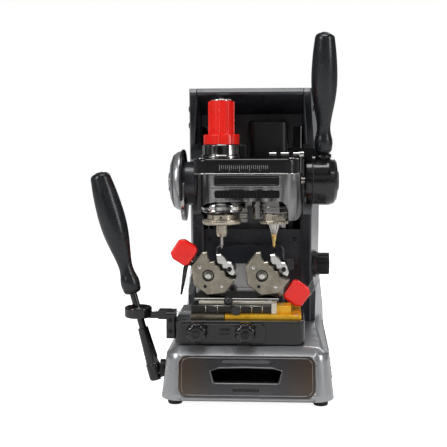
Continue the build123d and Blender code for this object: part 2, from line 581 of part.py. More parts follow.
def clamp(c, tag, lev_deg):
    body = poly_xz(octagon(c), -84, -72)
    body -= poly_xz(turn(CUT, c), -90, -70)
    edges = body.faces().sort_by(Axis.Y)[0].edges()
    try:
        body = chamfer(edges, 0.9)
    except Exception:
        print("chamfer skipped", tag)
    body -= cy(c - 6.0, CZ - 3.0, 5.4, -90, -80.5)
    body += cy(c - 6.0, CZ - 3.0, 3.2, -83.2, -80.4)
    body += cy(c, CZ, 8.0, -72.1, -57.6) + cy(c, CZ, 9.6, -58.3, -55.5)
    emit(f"{tag}_clamp_jaw", body)
    jaw = poly_xz(turn(JAW, c), -85.5, -73.5)
    try:
        jaw = chamfer(jaw.faces().sort_by(Axis.Y)[0].edges(), 0.8)
    except Exception:
        print("chamfer skipped", tag)
    jaw -= cy(c + 17.6, CZ + 4.4, 2.8, -90, -82.5)
    emit(f"{tag}_moving_jaw", jaw)
    lev = cy(c, CZ, 11.5, -71.6, -66.0) - cy(c, CZ, 8.05, -80, -60)
    d = math.radians(lev_deg)
    ux, uz = math.cos(d), math.sin(d)
    px, pz = -uz, ux
    q = lambda r, w: (c + ux * r + px * w, CZ + uz * r + pz * w)
    armp = [q(10, -5), q(31, -3.6), q(31, 3.6), q(10, 5)]
    a = poly_xz(armp, -71.6, -66.0)
    caps = poly_xz([q(28, -9.5), q(33, -12.6), q(47, -12.6), q(52.4, -8.4), q(52.4, 8.4), q(47, 12.6), q(33, 12.6), q(28, 9.5)], -80, -67)
    caps = fil(caps, caps.edges().filter_by(Axis.Y), 3.5)
    caps = fil(caps, caps.faces().sort_by(Axis.Y)[0].edges(), 2.5)
    caps = fil(caps, caps.faces().sort_by(Axis.Y)[-1].edges(), 2.5)
    emit(f"{tag}_clamp_lever", lev + a + caps)


clamp(CXL, "left", 147)
clamp(CXR, "right", -36)

# ---------------------------------------------------------------- joystick
tilt = Pos(*PIV) * Rot(0, -LEV_A, 0)
knu = cx(PIV[1], PIV[2], 9.6, -96.6, -92.0) + cx(PIV[1], PIV[2], 8.0, -92.5, -74)
knu += bx(-103, -96, PIV[1] - 2.9, PIV[1] + 2.9, PIV[2] - 4.4, PIV[2] + 4.4) + cy(PIV[0], PIV[2], 4.4, PIV[1] - 2.9, PIV[1] + 2.9)
knu -= cy(PIV[0], PIV[2], 2.04, -110, -80)
emit("lever_knuckle", knu)

house = Pos(0, 0, -3.6) * Cylinder(8.2, 19.2)
house = fil(house, house.edges().filter_by(GeomType.CIRCLE), 2.0)
stick = house + Pos(0, 0, 25.5) * Cone(7.4, 5.8, 41) + Pos(0, 0, 70) * Cylinder(4.0, 60)
stick = tilt * stick
cutbox = bx(-105.5, -80, PIV[1] - 3.15, PIV[1] + 3.15, PIV[2] - 7.2, PIV[2] + 5.6)
for a in (-24, -18, -12, -6, 0, 6, 13):
    stick -= Pos(*PIV) * Rot(0, a, 0) * Pos(*[-v for v in PIV]) * bx(-104, -84, PIV[1] - 3.15, PIV[1] + 3.15, PIV[2] - 4.9, PIV[2] + 4.9)
stick -= cy(PIV[0], PIV[2], 5.2, PIV[1] - 3.15, PIV[1] + 3.15)
for a in (-24, -18, -12, -6, 0, 6, 13):
    stick -= Pos(*PIV) * Rot(0, a, 0) * Pos(*[-v for v in PIV]) * (cx(PIV[1], PIV[2], 10.2, -97.2, -84))
stick += cy(PIV[0], PIV[2], 2.0, PIV[1] - 8, PIV[1] + 8)
stick += tilt * Pos(0, 0, (RING_Z - PIV[2]) / math.cos(math.radians(LEV_A))) * Sphere(7.0)
emit("joystick_rod", stick)
emit("left_grip", tilt * Pos(0, 0, 86.0) * grip_solid())
print("stick top", (tilt * Pos(0, 0, 222)).position)

# ---------------------------------------------------------------- electronics, controls
board = bx(58, 60, 31, 100, 104, 168) + bx(50.5, 58.2, 70, 92, 150, 162) + bx(51, 58.2, 34, 48, 108, 122) + cx(86, 118, 6, 51, 58.2)
board += cx(POT_Y, POT_Z, 17.0, 73.4, 78.2) + cx(POT_Y, POT_Z, 9.0, 59.8, 73.6) - cx(POT_Y, POT_Z, 3.05, 66, 80)
emit("motor_controller", board)
mod = bx(-46, 6, 118, 138, 20, 50) + rrxz(-48, 8, 18, 52, 2, 140, 141.6) + bx(-45, 5, 137, 140.5, 21, 49)
mod -= bx(-18, 2, 126, 143, 26, 44) + bx(-43.2, -23.8, 126, 145, 24, 46)
for ix, iz in ((-14, 33), (-8, 38), (-2, 33)):
    mod += bx(ix - 0.8, ix + 0.8, 125, 137, iz - 2.6, iz + 2.6)
emit("power_inlet", mod)

sk = cx(POT_Y, POT_Z, 13.4, 79.0, 94.0)
for i in range(14):
    a = 2 * math.pi * i / 14
    sk -= cx(POT_Y + 14.6 * math.cos(a), POT_Z + 14.6 * math.sin(a), 1.9, 81.5, 99)
sk = sk + cx(POT_Y, POT_Z, 14.4, 78.6, 81.2) + cx(POT_Y, POT_Z, 3.0, 67, 79)
emit("speed_knob", sk)
rk = poly_yz([(128, 34.2), (128, 35.8), (136.4, 43.8), (139.4, 43.4), (138.2, 35), (139.4, 26.6), (136.4, 26.2)], -42.6, -24.4)
rk += cx(131, 35, 2.0, -43.1, -23.9)
emit("power_switch", rk)

allb = Compound(children=[c for c in made.values()]).bounding_box()
print(len(made), "nodes", allb.min, allb.max)
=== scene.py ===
import bpy, bmesh, math, json, random
from mathutils import Vector, Matrix
from mathutils.bvhtree import BVHTree

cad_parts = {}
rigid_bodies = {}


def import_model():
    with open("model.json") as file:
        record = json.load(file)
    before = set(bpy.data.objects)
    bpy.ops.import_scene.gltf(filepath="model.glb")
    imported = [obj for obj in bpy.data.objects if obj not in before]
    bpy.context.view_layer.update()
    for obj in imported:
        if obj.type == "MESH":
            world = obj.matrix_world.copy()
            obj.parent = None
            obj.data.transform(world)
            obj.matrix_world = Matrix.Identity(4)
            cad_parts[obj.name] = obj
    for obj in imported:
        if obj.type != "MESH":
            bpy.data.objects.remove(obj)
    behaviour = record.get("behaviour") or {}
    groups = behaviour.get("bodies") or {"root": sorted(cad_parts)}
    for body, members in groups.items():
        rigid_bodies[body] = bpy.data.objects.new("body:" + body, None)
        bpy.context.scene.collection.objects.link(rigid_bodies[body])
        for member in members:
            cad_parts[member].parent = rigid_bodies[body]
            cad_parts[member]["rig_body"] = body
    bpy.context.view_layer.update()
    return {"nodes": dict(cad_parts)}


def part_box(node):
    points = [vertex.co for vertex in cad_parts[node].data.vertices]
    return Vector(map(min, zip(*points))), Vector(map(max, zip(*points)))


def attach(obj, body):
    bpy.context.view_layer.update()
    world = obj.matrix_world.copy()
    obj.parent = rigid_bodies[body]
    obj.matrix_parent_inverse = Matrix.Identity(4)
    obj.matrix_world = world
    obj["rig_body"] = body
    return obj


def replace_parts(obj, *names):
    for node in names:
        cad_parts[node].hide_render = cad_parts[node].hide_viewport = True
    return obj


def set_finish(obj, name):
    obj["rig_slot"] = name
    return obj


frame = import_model()
NODES = frame["nodes"]
MM = 0.001
random.seed(7)


# ------------------------------------------------------------------ materials
def nt_new(name):
    m = bpy.data.materials.new(name)
    m.use_nodes = True
    t = m.node_tree
    t.nodes.clear()
    out = t.nodes.new("ShaderNodeOutputMaterial")
    p = t.nodes.new("ShaderNodeBsdfPrincipled")
    t.links.new(p.outputs[0], out.inputs[0])
    return m, t, p


def noise_node(t, vec, scale, detail=3.0, rough=0.55):
    n = t.nodes.new("ShaderNodeTexNoise")
    n.inputs["Scale"].default_value = scale
    n.inputs["Detail"].default_value = detail
    n.inputs["Roughness"].default_value = rough
    t.links.new(vec, n.inputs["Vector"])
    return n.outputs["Fac"]


def maprange(t, val, lo, hi, a=0.3, b=0.7):
    n = t.nodes.new("ShaderNodeMapRange")
    n.inputs["From Min"].default_value = a
    n.inputs["From Max"].default_value = b
    n.inputs["To Min"].default_value = lo
    n.inputs["To Max"].default_value = hi
    t.links.new(val, n.inputs["Value"])
    return n.outputs["Result"]


def mixcol(t, fac, c1, c2):
    n = t.nodes.new("ShaderNodeMix")
    n.data_type = "RGBA"
    if isinstance(fac, float):
        n.inputs["Factor"].default_value = fac
    else:
        t.links.new(fac, n.inputs["Factor"])
    for s, c in ((6, c1), (7, c2)):
        if isinstance(c, (tuple, list)):
            n.inputs[s].default_value = (c[0], c[1], c[2], 1)
        else:
            t.links.new(c, n.inputs[s])
    return n.outputs[2]


def make(name, col, col2=None, metal=0.0, rough=0.35, rvar=0.06, vscale=35.0, bump=0.12, bscale=1400.0, bdist=0.00004,
         coat=0.0, coat_rough=0.06, stretch=(1, 1, 1), spec=0.5, flake=0.0, dust=0.0, ior=1.5, sheen=0.0, aniso=0.0):
    """Procedural surface: slow colour drift, fine grain in roughness and bump, optional brushing along an axis."""
    m, t, p = nt_new(name)
    tc = t.nodes.new("ShaderNodeTexCoord")
    mp = t.nodes.new("ShaderNodeMapping")
    mp.inputs["Scale"].default_value = stretch
    t.links.new(tc.outputs["Object"], mp.inputs["Vector"])
    obj = tc.outputs["Object"]
    st = mp.outputs["Vector"]
    col2 = col2 or tuple(min(1.0, c * 1.18 + 0.002) for c in col)
    slow = noise_node(t, obj, vscale, 4.0)
    fine = noise_node(t, st, bscale, 3.0)
    f = maprange(t, slow, 0.0, 1.0)
    c = mixcol(t, f, col, col2)
    if flake:
        fl = noise_node(t, obj, 5200.0, 1.0)
        c = mixcol(t, maprange(t, fl, 0.0, flake, 0.45, 0.75), c, tuple(min(1.0, x * 2.0 + 0.05) for x in col))
    if stretch != (1, 1, 1):
        c = mixcol(t, maprange(t, fine, 0.0, 0.35), c, tuple(x * 0.72 for x in col))
    if dust:
        d = noise_node(t, obj, 260.0, 5.0, 0.7)
        c = mixcol(t, maprange(t, d, 0.0, dust, 0.5, 0.8), c, (0.42, 0.40, 0.36))
    t.links.new(c, p.inputs["Base Color"])
    p.inputs["Metallic"].default_value = metal
    r1 = maprange(t, noise_node(t, obj, vscale * 2.7, 5.0, 0.6), rough - rvar, rough + rvar)
    if stretch != (1, 1, 1):
        mm = t.nodes.new("ShaderNodeMath"); mm.operation = "ADD"
        t.links.new(r1, mm.inputs[0])
        t.links.new(maprange(t, fine, -0.07, 0.09), mm.inputs[1])
        r1 = mm.outputs[0]
    t.links.new(r1, p.inputs["Roughness"])
    b = t.nodes.new("ShaderNodeBump")
    b.inputs["Strength"].default_value = bump
    b.inputs["Distance"].default_value = bdist
    t.links.new(fine, b.inputs["Height"])
    t.links.new(b.outputs[0], p.inputs["Normal"])
    p.inputs["Coat Weight"].default_value = coat
    p.inputs["Coat Roughness"].default_value = coat_rough
    p.inputs["IOR"].default_value = ior
    p.inputs["Specular IOR Level"].default_value = spec
    p.inputs["Anisotropic"].default_value = aniso
    return m


M = {}
M["silver"] = make("silver_paint", (0.33, 0.335, 0.345), (0.38, 0.385, 0.395), metal=0.72, rough=0.30, rvar=0.04, vscale=22, bump=0.05, bscale=1100, coat=0.3, coat_rough=0.12, flake=0.05)
M["dark_shell"] = make("dark_powder_coat", (0.022, 0.024, 0.030), (0.031, 0.033, 0.040), rough=0.30, rvar=0.04, bump=0.07, bscale=2300, bdist=0.00003, spec=0.45, coat=0.15, coat_rough=0.15)
M["grey_shell"] = make("mid_grey_coat", (0.085, 0.088, 0.092), (0.105, 0.108, 0.112), metal=0.3, rough=0.33, rvar=0.05, bump=0.3, bscale=2100, bdist=0.00004)
M["dark_gloss"] = make("dark_gloss_moulding", (0.005, 0.005, 0.006), (0.009, 0.009, 0.010), rough=0.16, rvar=0.06, vscale=45, bump=0.06, bscale=900, coat=0.3, coat_rough=0.07, spec=0.4)
M["black_plastic"] = make("black_moulding", (0.006, 0.006, 0.0065), (0.010, 0.010, 0.0105), rough=0.34, rvar=0.06, bump=0.4, bscale=2600, bdist=0.00004, spec=0.35)
M["grip"] = make("grip_moulding", (0.006, 0.0075, 0.009), (0.010, 0.0115, 0.0135), rough=0.27, rvar=0.04, vscale=60, bump=0.07, bscale=1900, bdist=0.00003, coat=0.12, coat_rough=0.2, spec=0.42)
M["chrome"] = make("polished_chrome", (0.50, 0.49, 0.475), (0.60, 0.59, 0.575), metal=1.0, rough=0.10, rvar=0.04, vscale=70, bump=0.05, bscale=700)
M["dark_chrome"] = make("dark_chrome", (0.20, 0.195, 0.19), (0.27, 0.265, 0.26), metal=1.0, rough=0.13, rvar=0.04, vscale=70, bump=0.05, bscale=700)
M["steel"] = make("ground_steel", (0.50, 0.48, 0.45), (0.60, 0.58, 0.54), metal=1.0, rough=0.27, rvar=0.05, bump=0.15, bscale=900, stretch=(1, 1, 9))
M["steel_z"] = make("turned_steel", (0.52, 0.50, 0.47), (0.62, 0.60, 0.56), metal=1.0, rough=0.24, rvar=0.05, bump=0.14, bscale=500, stretch=(1, 1, 7))
M["steel_x"] = make("brushed_steel_x", (0.48, 0.46, 0.42), (0.60, 0.57, 0.53), metal=1.0, rough=0.26, rvar=0.05, bump=0.15, bscale=1500, stretch=(0.06, 1, 1))
M["cream"] = make("warm_nickel", (0.55, 0.49, 0.39), (0.68, 0.62, 0.51), metal=0.92, rough=0.22, rvar=0.05, bump=0.12, bscale=600, stretch=(1, 1, 6))
M["cream_plate"] = make("warm_ground_plate", (0.66, 0.60, 0.49), (0.78, 0.73, 0.63), metal=0.75, rough=0.34, rvar=0.05, bump=0.12, bscale=1500, stretch=(0.08, 1, 1))
M["nickel"] = make("satin_nickel", (0.30, 0.265, 0.21), (0.46, 0.42, 0.345), metal=0.92, rough=0.30, rvar=0.08, vscale=75, bump=0.2, bscale=1300, bdist=0.00005, stretch=(1.0, 1.0, 0.12))
M["bright"] = make("bright_ground_steel", (0.70, 0.69, 0.66), (0.82, 0.81, 0.78), metal=1.0, rough=0.18, rvar=0.05, bump=0.1, bscale=1500, stretch=(0.15, 1, 1))
M["red"] = make("red_moulding", (0.80, 0.010, 0.005), (0.90, 0.018, 0.009), rough=0.24, rvar=0.05, vscale=60, bump=0.15, bscale=1500, coat=0.2, coat_rough=0.1, spec=0.35)
M["yellow"] = make("yellow_anodised", (0.80, 0.40, 0.010), (0.92, 0.52, 0.03), metal=0.35, rough=0.28, rvar=0.06, bump=0.12, bscale=1600, stretch=(0.1, 1, 1))
M["rubber"] = make("black_rubber", (0.010, 0.010, 0.010), (0.018, 0.018, 0.018), rough=0.62, rvar=0.08, bump=0.5, bscale=1800, bdist=0.00006, dust=0.10)
M["cast"] = make("machined_casting", (0.15, 0.15, 0.155), (0.20, 0.20, 0.205), metal=0.7, rough=0.42, rvar=0.08, bump=0.6, bscale=1500, bdist=0.00009)
M["alu"] = make("machined_aluminium", (0.50, 0.50, 0.51), (0.60, 0.60, 0.61), metal=1.0, rough=0.30, rvar=0.06, bump=0.15, bscale=1400, stretch=(0.08, 1, 1))
M["zinc"] = make("zinc_plate", (0.50, 0.50, 0.49), (0.62, 0.61, 0.57), metal=0.95, rough=0.36, rvar=0.08, vscale=120, bump=0.15, bscale=1200)
M["gold"] = make("gold_coated_carbide", (0.72, 0.47, 0.16), (0.85, 0.62, 0.26), metal=1.0, rough=0.24, rvar=0.05, bump=0.2, bscale=1800, stretch=(1, 1, 5))
M["pcb"] = make("circuit_board", (0.006, 0.09, 0.035), (0.01, 0.13, 0.05), rough=0.35, rvar=0.08, vscale=300, bump=0.3, bscale=900)
M["black_steel"] = make("blackened_steel", (0.016, 0.016, 0.017), (0.03, 0.03, 0.031), metal=0.6, rough=0.26, rvar=0.07, bump=0.2, bscale=1300)
M["white_mark"] = make("printed_mark", (0.24, 0.24, 0.235), (0.32, 0.32, 0.31), rough=0.5, rvar=0.05, bump=0.1)
M["dark_step"] = make("dark_brushed_step", (0.026, 0.025, 0.024), (0.045, 0.043, 0.041), metal=0.7, rough=0.30, rvar=0.06, bump=0.15, bscale=1500, stretch=(0.1, 1, 1))
M["bronze_strip"] = make("warm_dark_strip", (0.19, 0.155, 0.115), (0.27, 0.225, 0.17), metal=0.85, rough=0.30, rvar=0.06, bump=0.15, bscale=1500, stretch=(0.1, 1, 1))
M["brown"] = make("brown_bush", (0.14, 0.075, 0.035), (0.2, 0.11, 0.055), metal=0.8, rough=0.28, rvar=0.06, bump=0.15, bscale=1500)


def gunmetal():
    """Gloss gunmetal front with a warm tone towards both ends."""
    m, t, p = nt_new("gunmetal_front")
    tc = t.nodes.new("ShaderNodeTexCoord")
    sx = t.nodes.new("ShaderNodeSeparateXYZ")
    t.links.new(tc.outputs["Object"], sx.inputs[0])
    ab = t.nodes.new("ShaderNodeMath"); ab.operation = "ABSOLUTE"
    t.links.new(sx.outputs["X"], ab.inputs[0])
    f = maprange(t, ab.outputs[0], 0.0, 1.0, 0.035, 0.072)
    n = noise_node(t, tc.outputs["Object"], 24.0, 3.0)
    base = mixcol(t, maprange(t, n, 0.0, 1.0), (0.060, 0.060, 0.066), (0.085, 0.083, 0.088))
    c = mixcol(t, f, base, (0.115, 0.078, 0.052))
    t.links.new(c, p.inputs["Base Color"])
    p.inputs["Metallic"].default_value = 0.75
    t.links.new(maprange(t, noise_node(t, tc.outputs["Object"], 120.0, 4.0), 0.17, 0.27), p.inputs["Roughness"])
    b = t.nodes.new("ShaderNodeBump"); b.inputs["Strength"].default_value = 0.08; b.inputs["Distance"].default_value = 0.00003
    t.links.new(noise_node(t, tc.outputs["Object"], 1500.0, 2.0), b.inputs["Height"])
    t.links.new(b.outputs[0], p.inputs["Normal"])
    p.inputs["Coat Weight"].default_value = 0.5
    p.inputs["Coat Roughness"].default_value = 0.07
    return m


M["gunmetal"] = gunmetal()


def zoned(name, base, zones, coat=0.0, bscale=1400.0):
    """One piece in several finishes by place. base and each finish: (colour, metallic, roughness); a zone is (tests, finish)."""
    m, t, p = nt_new(name)
    tc = t.nodes.new("ShaderNodeTexCoord")
    obj = tc.outputs["Object"]
    sx = t.nodes.new("ShaderNodeSeparateXYZ")
    t.links.new(obj, sx.inputs[0])
    geo = t.nodes.new("ShaderNodeNewGeometry")
    sn = t.nodes.new("ShaderNodeSeparateXYZ")
    t.links.new(geo.outputs["Normal"], sn.inputs[0])
    drift = maprange(t, noise_node(t, obj, 55.0, 4.0), 0.0, 1.0)

    def mixf(fac, a, b):
        n = t.nodes.new("ShaderNodeMix"); n.data_type = "FLOAT"
        t.links.new(fac, n.inputs[0])
        for k, v in ((2, a), (3, b)):
            if isinstance(v, (int, float)):
                n.inputs[k].default_value = v
            else:
                t.links.new(v, n.inputs[k])
        return n.outputs[0]
    col = mixcol(t, drift, base[0], tuple(min(1, c * 1.2) for c in base[0]))
    met, rg = base[1], base[2]
    for tests, fin in zones:
        fac = None
        for kind, op, val in tests:
            if isinstance(kind, tuple):
                d = t.nodes.new("ShaderNodeVectorMath"); d.operation = "SUBTRACT"
                t.links.new(obj, d.inputs[0]); d.inputs[1].default_value = (kind[0] * MM, 0, kind[1] * MM)
                k = t.nodes.new("ShaderNodeVectorMath"); k.operation = "MULTIPLY"
                t.links.new(d.outputs[0], k.inputs[0]); k.inputs[1].default_value = (1, 0, 1)
                ln = t.nodes.new("ShaderNodeVectorMath"); ln.operation = "LENGTH"
                t.links.new(k.outputs[0], ln.inputs[0])
                src, val = ln.outputs["Value"], val * MM
            elif kind[0] == "n":
                src = sn.outputs[kind[1]]
            else:
                src, val = sx.outputs[kind], val * MM
            g = t.nodes.new("ShaderNodeMath"); g.operation = "GREATER_THAN" if op == ">" else "LESS_THAN"
            t.links.new(src, g.inputs[0]); g.inputs[1].default_value = val
            if fac is None:
                fac = g.outputs[0]
            else:
                mu = t.nodes.new("ShaderNodeMath"); mu.operation = "MULTIPLY"
                t.links.new(fac, mu.inputs[0]); t.links.new(g.outputs[0], mu.inputs[1]); fac = mu.outputs[0]
        col = mixcol(t, fac, col, mixcol(t, drift, fin[0], tuple(min(1, c * 1.2) for c in fin[0])))
        met = mixf(fac, met, fin[1])
        rg = mixf(fac, rg, fin[2])
    t.links.new(col, p.inputs["Base Color"])
    t.links.new(met, p.inputs["Metallic"])
    ad = t.nodes.new("ShaderNodeMath"); ad.operation = "ADD"
    t.links.new(rg, ad.inputs[0])
    t.links.new(maprange(t, noise_node(t, obj, 300.0, 4.0), -0.04, 0.05), ad.inputs[1])
    t.links.new(ad.outputs[0], p.inputs["Roughness"])
    b = t.nodes.new("ShaderNodeBump"); b.inputs["Strength"].default_value = 0.06; b.inputs["Distance"].default_value = 0.00003
    t.links.new(noise_node(t, obj, bscale, 2.0), b.inputs["Height"])
    t.links.new(b.outputs[0], p.inputs["Normal"])
    p.inputs["Coat Weight"].default_value = coat
    p.inputs["Coat Roughness"].default_value = 0.1
    return m


SLATE = ((0.026, 0.028, 0.034), 0.0, 0.30)
SILV = ((0.33, 0.335, 0.345), 0.72, 0.30)
DARKSTEP = ((0.075, 0.072, 0.068), 0.75, 0.28)
BRONZE = ((0.20, 0.155, 0.11), 0.85, 0.30)
YELLOW = ((0.80, 0.40, 0.010), 0.35, 0.28)
GOLDY = ((0.70, 0.44, 0.06), 0.6, 0.26)
REDF = ((0.80, 0.010, 0.005), 0.0, 0.24)
BLKF = ((0.012, 0.012, 0.013), 0.1, 0.22)
M["riser"] = zoned("riser_stack", YELLOW, [([("X", "<", -25), ("Z", "<", 94.6)], BRONZE), ([("X", "<", 26.7), ("Z", ">", 94.6)], DARKSTEP), ([("X", ">", 26.7), ("Z", ">", 94.6)], GOLDY)])
M["lever_l"] = zoned("left_lever_finish", BLKF, [([((-38.5, 136), ">", 27.4), ("Y", "<", -66.9)], REDF)], coat=0.3)
M["lever_r"] = zoned("right_lever_finish", BLKF, [([((20.7, 136), ">", 27.4), ("Y", "<", -66.9)], REDF)], coat=0.3)
M["shell_r"] = zoned("right_shell_finish", SILV, [([("nX", "<", -0.12)], SLATE), ([("nY", "<", -0.4), ("Z", ">", 258)], SLATE)], coat=0.3, bscale=1100)
M["shell_l"] = zoned("left_shell_finish", SILV, [([("nX", ">", 0.12)], SLATE), ([("nY", "<", -0.4), ("Z", ">", 258)], SLATE)], coat=0.3, bscale=1100)
M["ctrl"] = zoned("controller_finish", ((0.008, 0.09, 0.035), 0.0, 0.4), [([("X", ">", 68)], ((0.012, 0.012, 0.013), 0.0, 0.35))])


def clear_sheet():
    m, t, p = nt_new("clear_polycarbonate")
    tc = t.nodes.new("ShaderNodeTexCoord")
    n = noise_node(t, tc.outputs["Object"], 60.0, 4.0)
    c = mixcol(t, maprange(t, n, 0.0, 1.0), (0.80, 0.83, 0.85), (0.90, 0.92, 0.93))
    t.links.new(c, p.inputs["Base Color"])
    t.links.new(maprange(t, noise_node(t, tc.outputs["Object"], 300.0, 4.0), 0.03, 0.10), p.inputs["Roughness"])
    p.inputs["Alpha"].default_value = 0.22
    p.inputs["IOR"].default_value = 1.58
    p.inputs["Specular IOR Level"].default_value = 0.7
    b = t.nodes.new("ShaderNodeBump"); b.inputs["Strength"].default_value = 0.05; b.inputs["Distance"].default_value = 0.00003
    t.links.new(noise_node(t, tc.outputs["Object"], 500.0, 2.0), b.inputs["Height"])
    t.links.new(b.outputs[0], p.inputs["Normal"])
    return m


M["clear"] = clear_sheet()


def hue_split(name, test_axis, edge, mat_lo, mat_hi):
    """One piece in two finishes, split by height or depth, for a casting with one polished end."""
    m, t, p = nt_new(name)
    tc = t.nodes.new("ShaderNodeTexCoord")
    sx = t.nodes.new("ShaderNodeSeparateXYZ")
    t.links.new(tc.outputs["Object"], sx.inputs[0])
    g = t.nodes.new("ShaderNodeMath"); g.operation = "GREATER_THAN"; g.inputs[1].default_value = edge
    t.links.new(sx.outputs[test_axis], g.inputs[0])
    n = noise_node(t, tc.outputs["Object"], 60.0, 4.0)
    lo = mixcol(t, maprange(t, n, 0.0, 1.0), mat_lo[0], tuple(min(1, x * 1.2) for x in mat_lo[0]))
    hi = mixcol(t, maprange(t, n, 0.0, 1.0), mat_hi[0], tuple(min(1, x * 1.2) for x in mat_hi[0]))
    t.links.new(mixcol(t, g.outputs[0], lo, hi), p.inputs["Base Color"])
    p.inputs["Metallic"].default_value = 1.0
    r = t.nodes.new("ShaderNodeMapRange")
    r.inputs["To Min"].default_value = mat_lo[1]; r.inputs["To Max"].default_value = mat_hi[1]
    t.links.new(g.outputs[0], r.inputs["Value"])
    ad = t.nodes.new("ShaderNodeMath"); ad.operation = "ADD"
    t.links.new(r.outputs[0], ad.inputs[0])
    t.links.new(maprange(t, noise_node(t, tc.outputs["Object"], 400.0, 4.0), -0.04, 0.05), ad.inputs[1])
    t.links.new(ad.outputs[0], p.inputs["Roughness"])
    b = t.nodes.new("ShaderNodeBump"); b.inputs["Strength"].default_value = 0.12; b.inputs["Distance"].default_value = 0.00004
    t.links.new(noise_node(t, tc.outputs["Object"], 1200.0, 2.0), b.inputs["Height"])
    t.links.new(b.outputs[0], p.inputs["Normal"])
    return m


M["head_cast"] = hue_split("head_casting_finish", "Z", 0.2137, ((0.36, 0.35, 0.34), 0.12), ((0.32, 0.32, 0.33), 0.34))



def painted_reflection_streaks(name, lo, hi, rough, sx_, sy_, sz_, scale):
    """Polished plating with painted reflections: soft dark and light streaks in the base colour stand in for
    reflections.
    """
    m, t, p = nt_new(name)
    tc = t.nodes.new("ShaderNodeTexCoord")
    mp = t.nodes.new("ShaderNodeMapping")
    mp.inputs["Scale"].default_value = (sx_, sy_, sz_)
    t.links.new(tc.outputs["Object"], mp.inputs["Vector"])
    n = noise_node(t, mp.outputs["Vector"], scale, 2.0, 0.5)
    c = mixcol(t, maprange(t, n, 0.0, 1.0, 0.40, 0.60), lo, hi)
    t.links.new(c, p.inputs["Base Color"])
    p.inputs["Metallic"].default_value = 1.0
    t.links.new(maprange(t, noise_node(t, tc.outputs["Object"], 180.0, 4.0), rough - 0.03, rough + 0.05), p.inputs["Roughness"])
    b = t.nodes.new("ShaderNodeBump"); b.inputs["Strength"].default_value = 0.35; b.inputs["Distance"].default_value = 0.0012
    t.links.new(noise_node(t, mp.outputs["Vector"], scale * 0.8, 1.0), b.inputs["Height"])
    t.links.new(b.outputs[0], p.inputs["Normal"])
    return m


# head cover and turned chrome: streaks from near black to near white in the base colour are painted reflections
M["chrome_head"] = painted_reflection_streaks("head_cover_chrome", (0.10, 0.098, 0.10), (0.86, 0.855, 0.85), 0.10, 1.0, 1.0, 0.12, 85.0)
M["chrome_turn"] = painted_reflection_streaks("turned_chrome", (0.10, 0.098, 0.095), (0.80, 0.79, 0.77), 0.09, 1.0, 1.0, 0.25, 110.0)

# ------------------------------------------------------------------ mesh helpers


def finish_mesh(ob, bevel=0.0, segs=2, angle=32, subsurf=0, wn=True):
    me = ob.data
    for poly in me.polygons:
        poly.use_smooth = True
    if bevel > 0:
        b = ob.modifiers.new("edge", "BEVEL")
        b.width = bevel
        b.segments = segs
        b.limit_method = "ANGLE"
        b.angle_limit = math.radians(angle)
        b.harden_normals = False
        b.use_clamp_overlap = True
    if subsurf:
        s = ob.modifiers.new("sub", "SUBSURF")
        s.levels = s.render_levels = subsurf
    if wn:
        w = ob.modifiers.new("wn", "WEIGHTED_NORMAL")
        w.mode = "FACE_AREA_WITH_ANGLE"
        w.weight = 60
        w.keep_sharp = False
    return ob


def new_obj(name, verts, faces, mat, body, slot=None, bevel=0.0, segs=2, angle=32, wn=True, subsurf=0):
    me = bpy.data.meshes.new(name)
    me.from_pydata([tuple(v) for v in verts], [], [tuple(f) for f in faces])
    me.validate()
    bm = bmesh.new(); bm.from_mesh(me)
    bmesh.ops.remove_doubles(bm, verts=bm.verts, dist=1e-7)
    bmesh.ops.recalc_face_normals(bm, faces=bm.faces)
    bm.to_mesh(me); bm.free()
    ob = bpy.data.objects.new(name, me)
    bpy.context.scene.collection.objects.link(ob)
    me.materials.append(M[mat] if isinstance(mat, str) else mat)
    finish_mesh(ob, bevel, segs, angle, subsurf, wn)
    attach(ob, body)
    if slot:
        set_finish(ob, slot)
    return ob


def frame_of(axis):
    a = Vector(axis).normalized()
    ref = Vector((0, 0, 1)) if abs(a.z) < 0.9 else Vector((1, 0, 0))
    u = ref.cross(a).normalized()
    v = a.cross(u)
    return a, u, v


def lathe(name, prof, origin, axis, mat, body, seg=80, closed=False, arc=None, ripple=None, **kw):
    """Turned piece: prof is (radius, distance along the axis) in mm. ripple(angle, r, h) may change the radius."""
    a, u, v = frame_of(axis)
    o = Vector(origin) * MM
    verts, faces, n = [], [], len(prof)
    rings = []
    for i, (r, h) in enumerate(prof):
        if r < 1e-6:
            rings.append([len(verts)]); verts.append(o + a * (h * MM))
        else:
            idx = []
            for k in range(seg):
                th = 2 * math.pi * k / seg
                rr = ripple(th, r, h) if ripple else r
                idx.append(len(verts))
                verts.append(o + a * (h * MM) + (u * math.cos(th) + v * math.sin(th)) * (rr * MM))
            rings.append(idx)
    m = n if closed else n - 1
    for i in range(m):
        A, B = rings[i], rings[(i + 1) % n]
        for k in range(seg):
            k2 = (k + 1) % seg
            if len(A) == 1 and len(B) == 1:
                continue
            if len(A) == 1:
                faces.append((A[0], B[k2], B[k]))
            elif len(B) == 1:
                faces.append((A[k], A[k2], B[0]))
            else:
                faces.append((A[k], A[k2], B[k2], B[k]))
    return new_obj(name, verts, faces, mat, body, **kw)


def prism(name, pts, plane, lo, hi, mat, body, **kw):
    """Extruded outline, mm. plane 'xz' runs along Y, 'xy' along Z, 'yz' along X."""
    def P(a, b, c):
        return {"xz": (a, c, b), "xy": (a, b, c), "yz": (c, a, b)}[plane]
    n = len(pts)
    verts = [Vector(P(a, b, lo)) * MM for a, b in pts] + [Vector(P(a, b, hi)) * MM for a, b in pts]
    faces = [tuple(range(n)), tuple(range(2 * n - 1, n - 1, -1))]
    faces += [(i, (i + 1) % n, n + (i + 1) % n, n + i) for i in range(n)]
    return new_obj(name, verts, faces, mat, body, **kw)


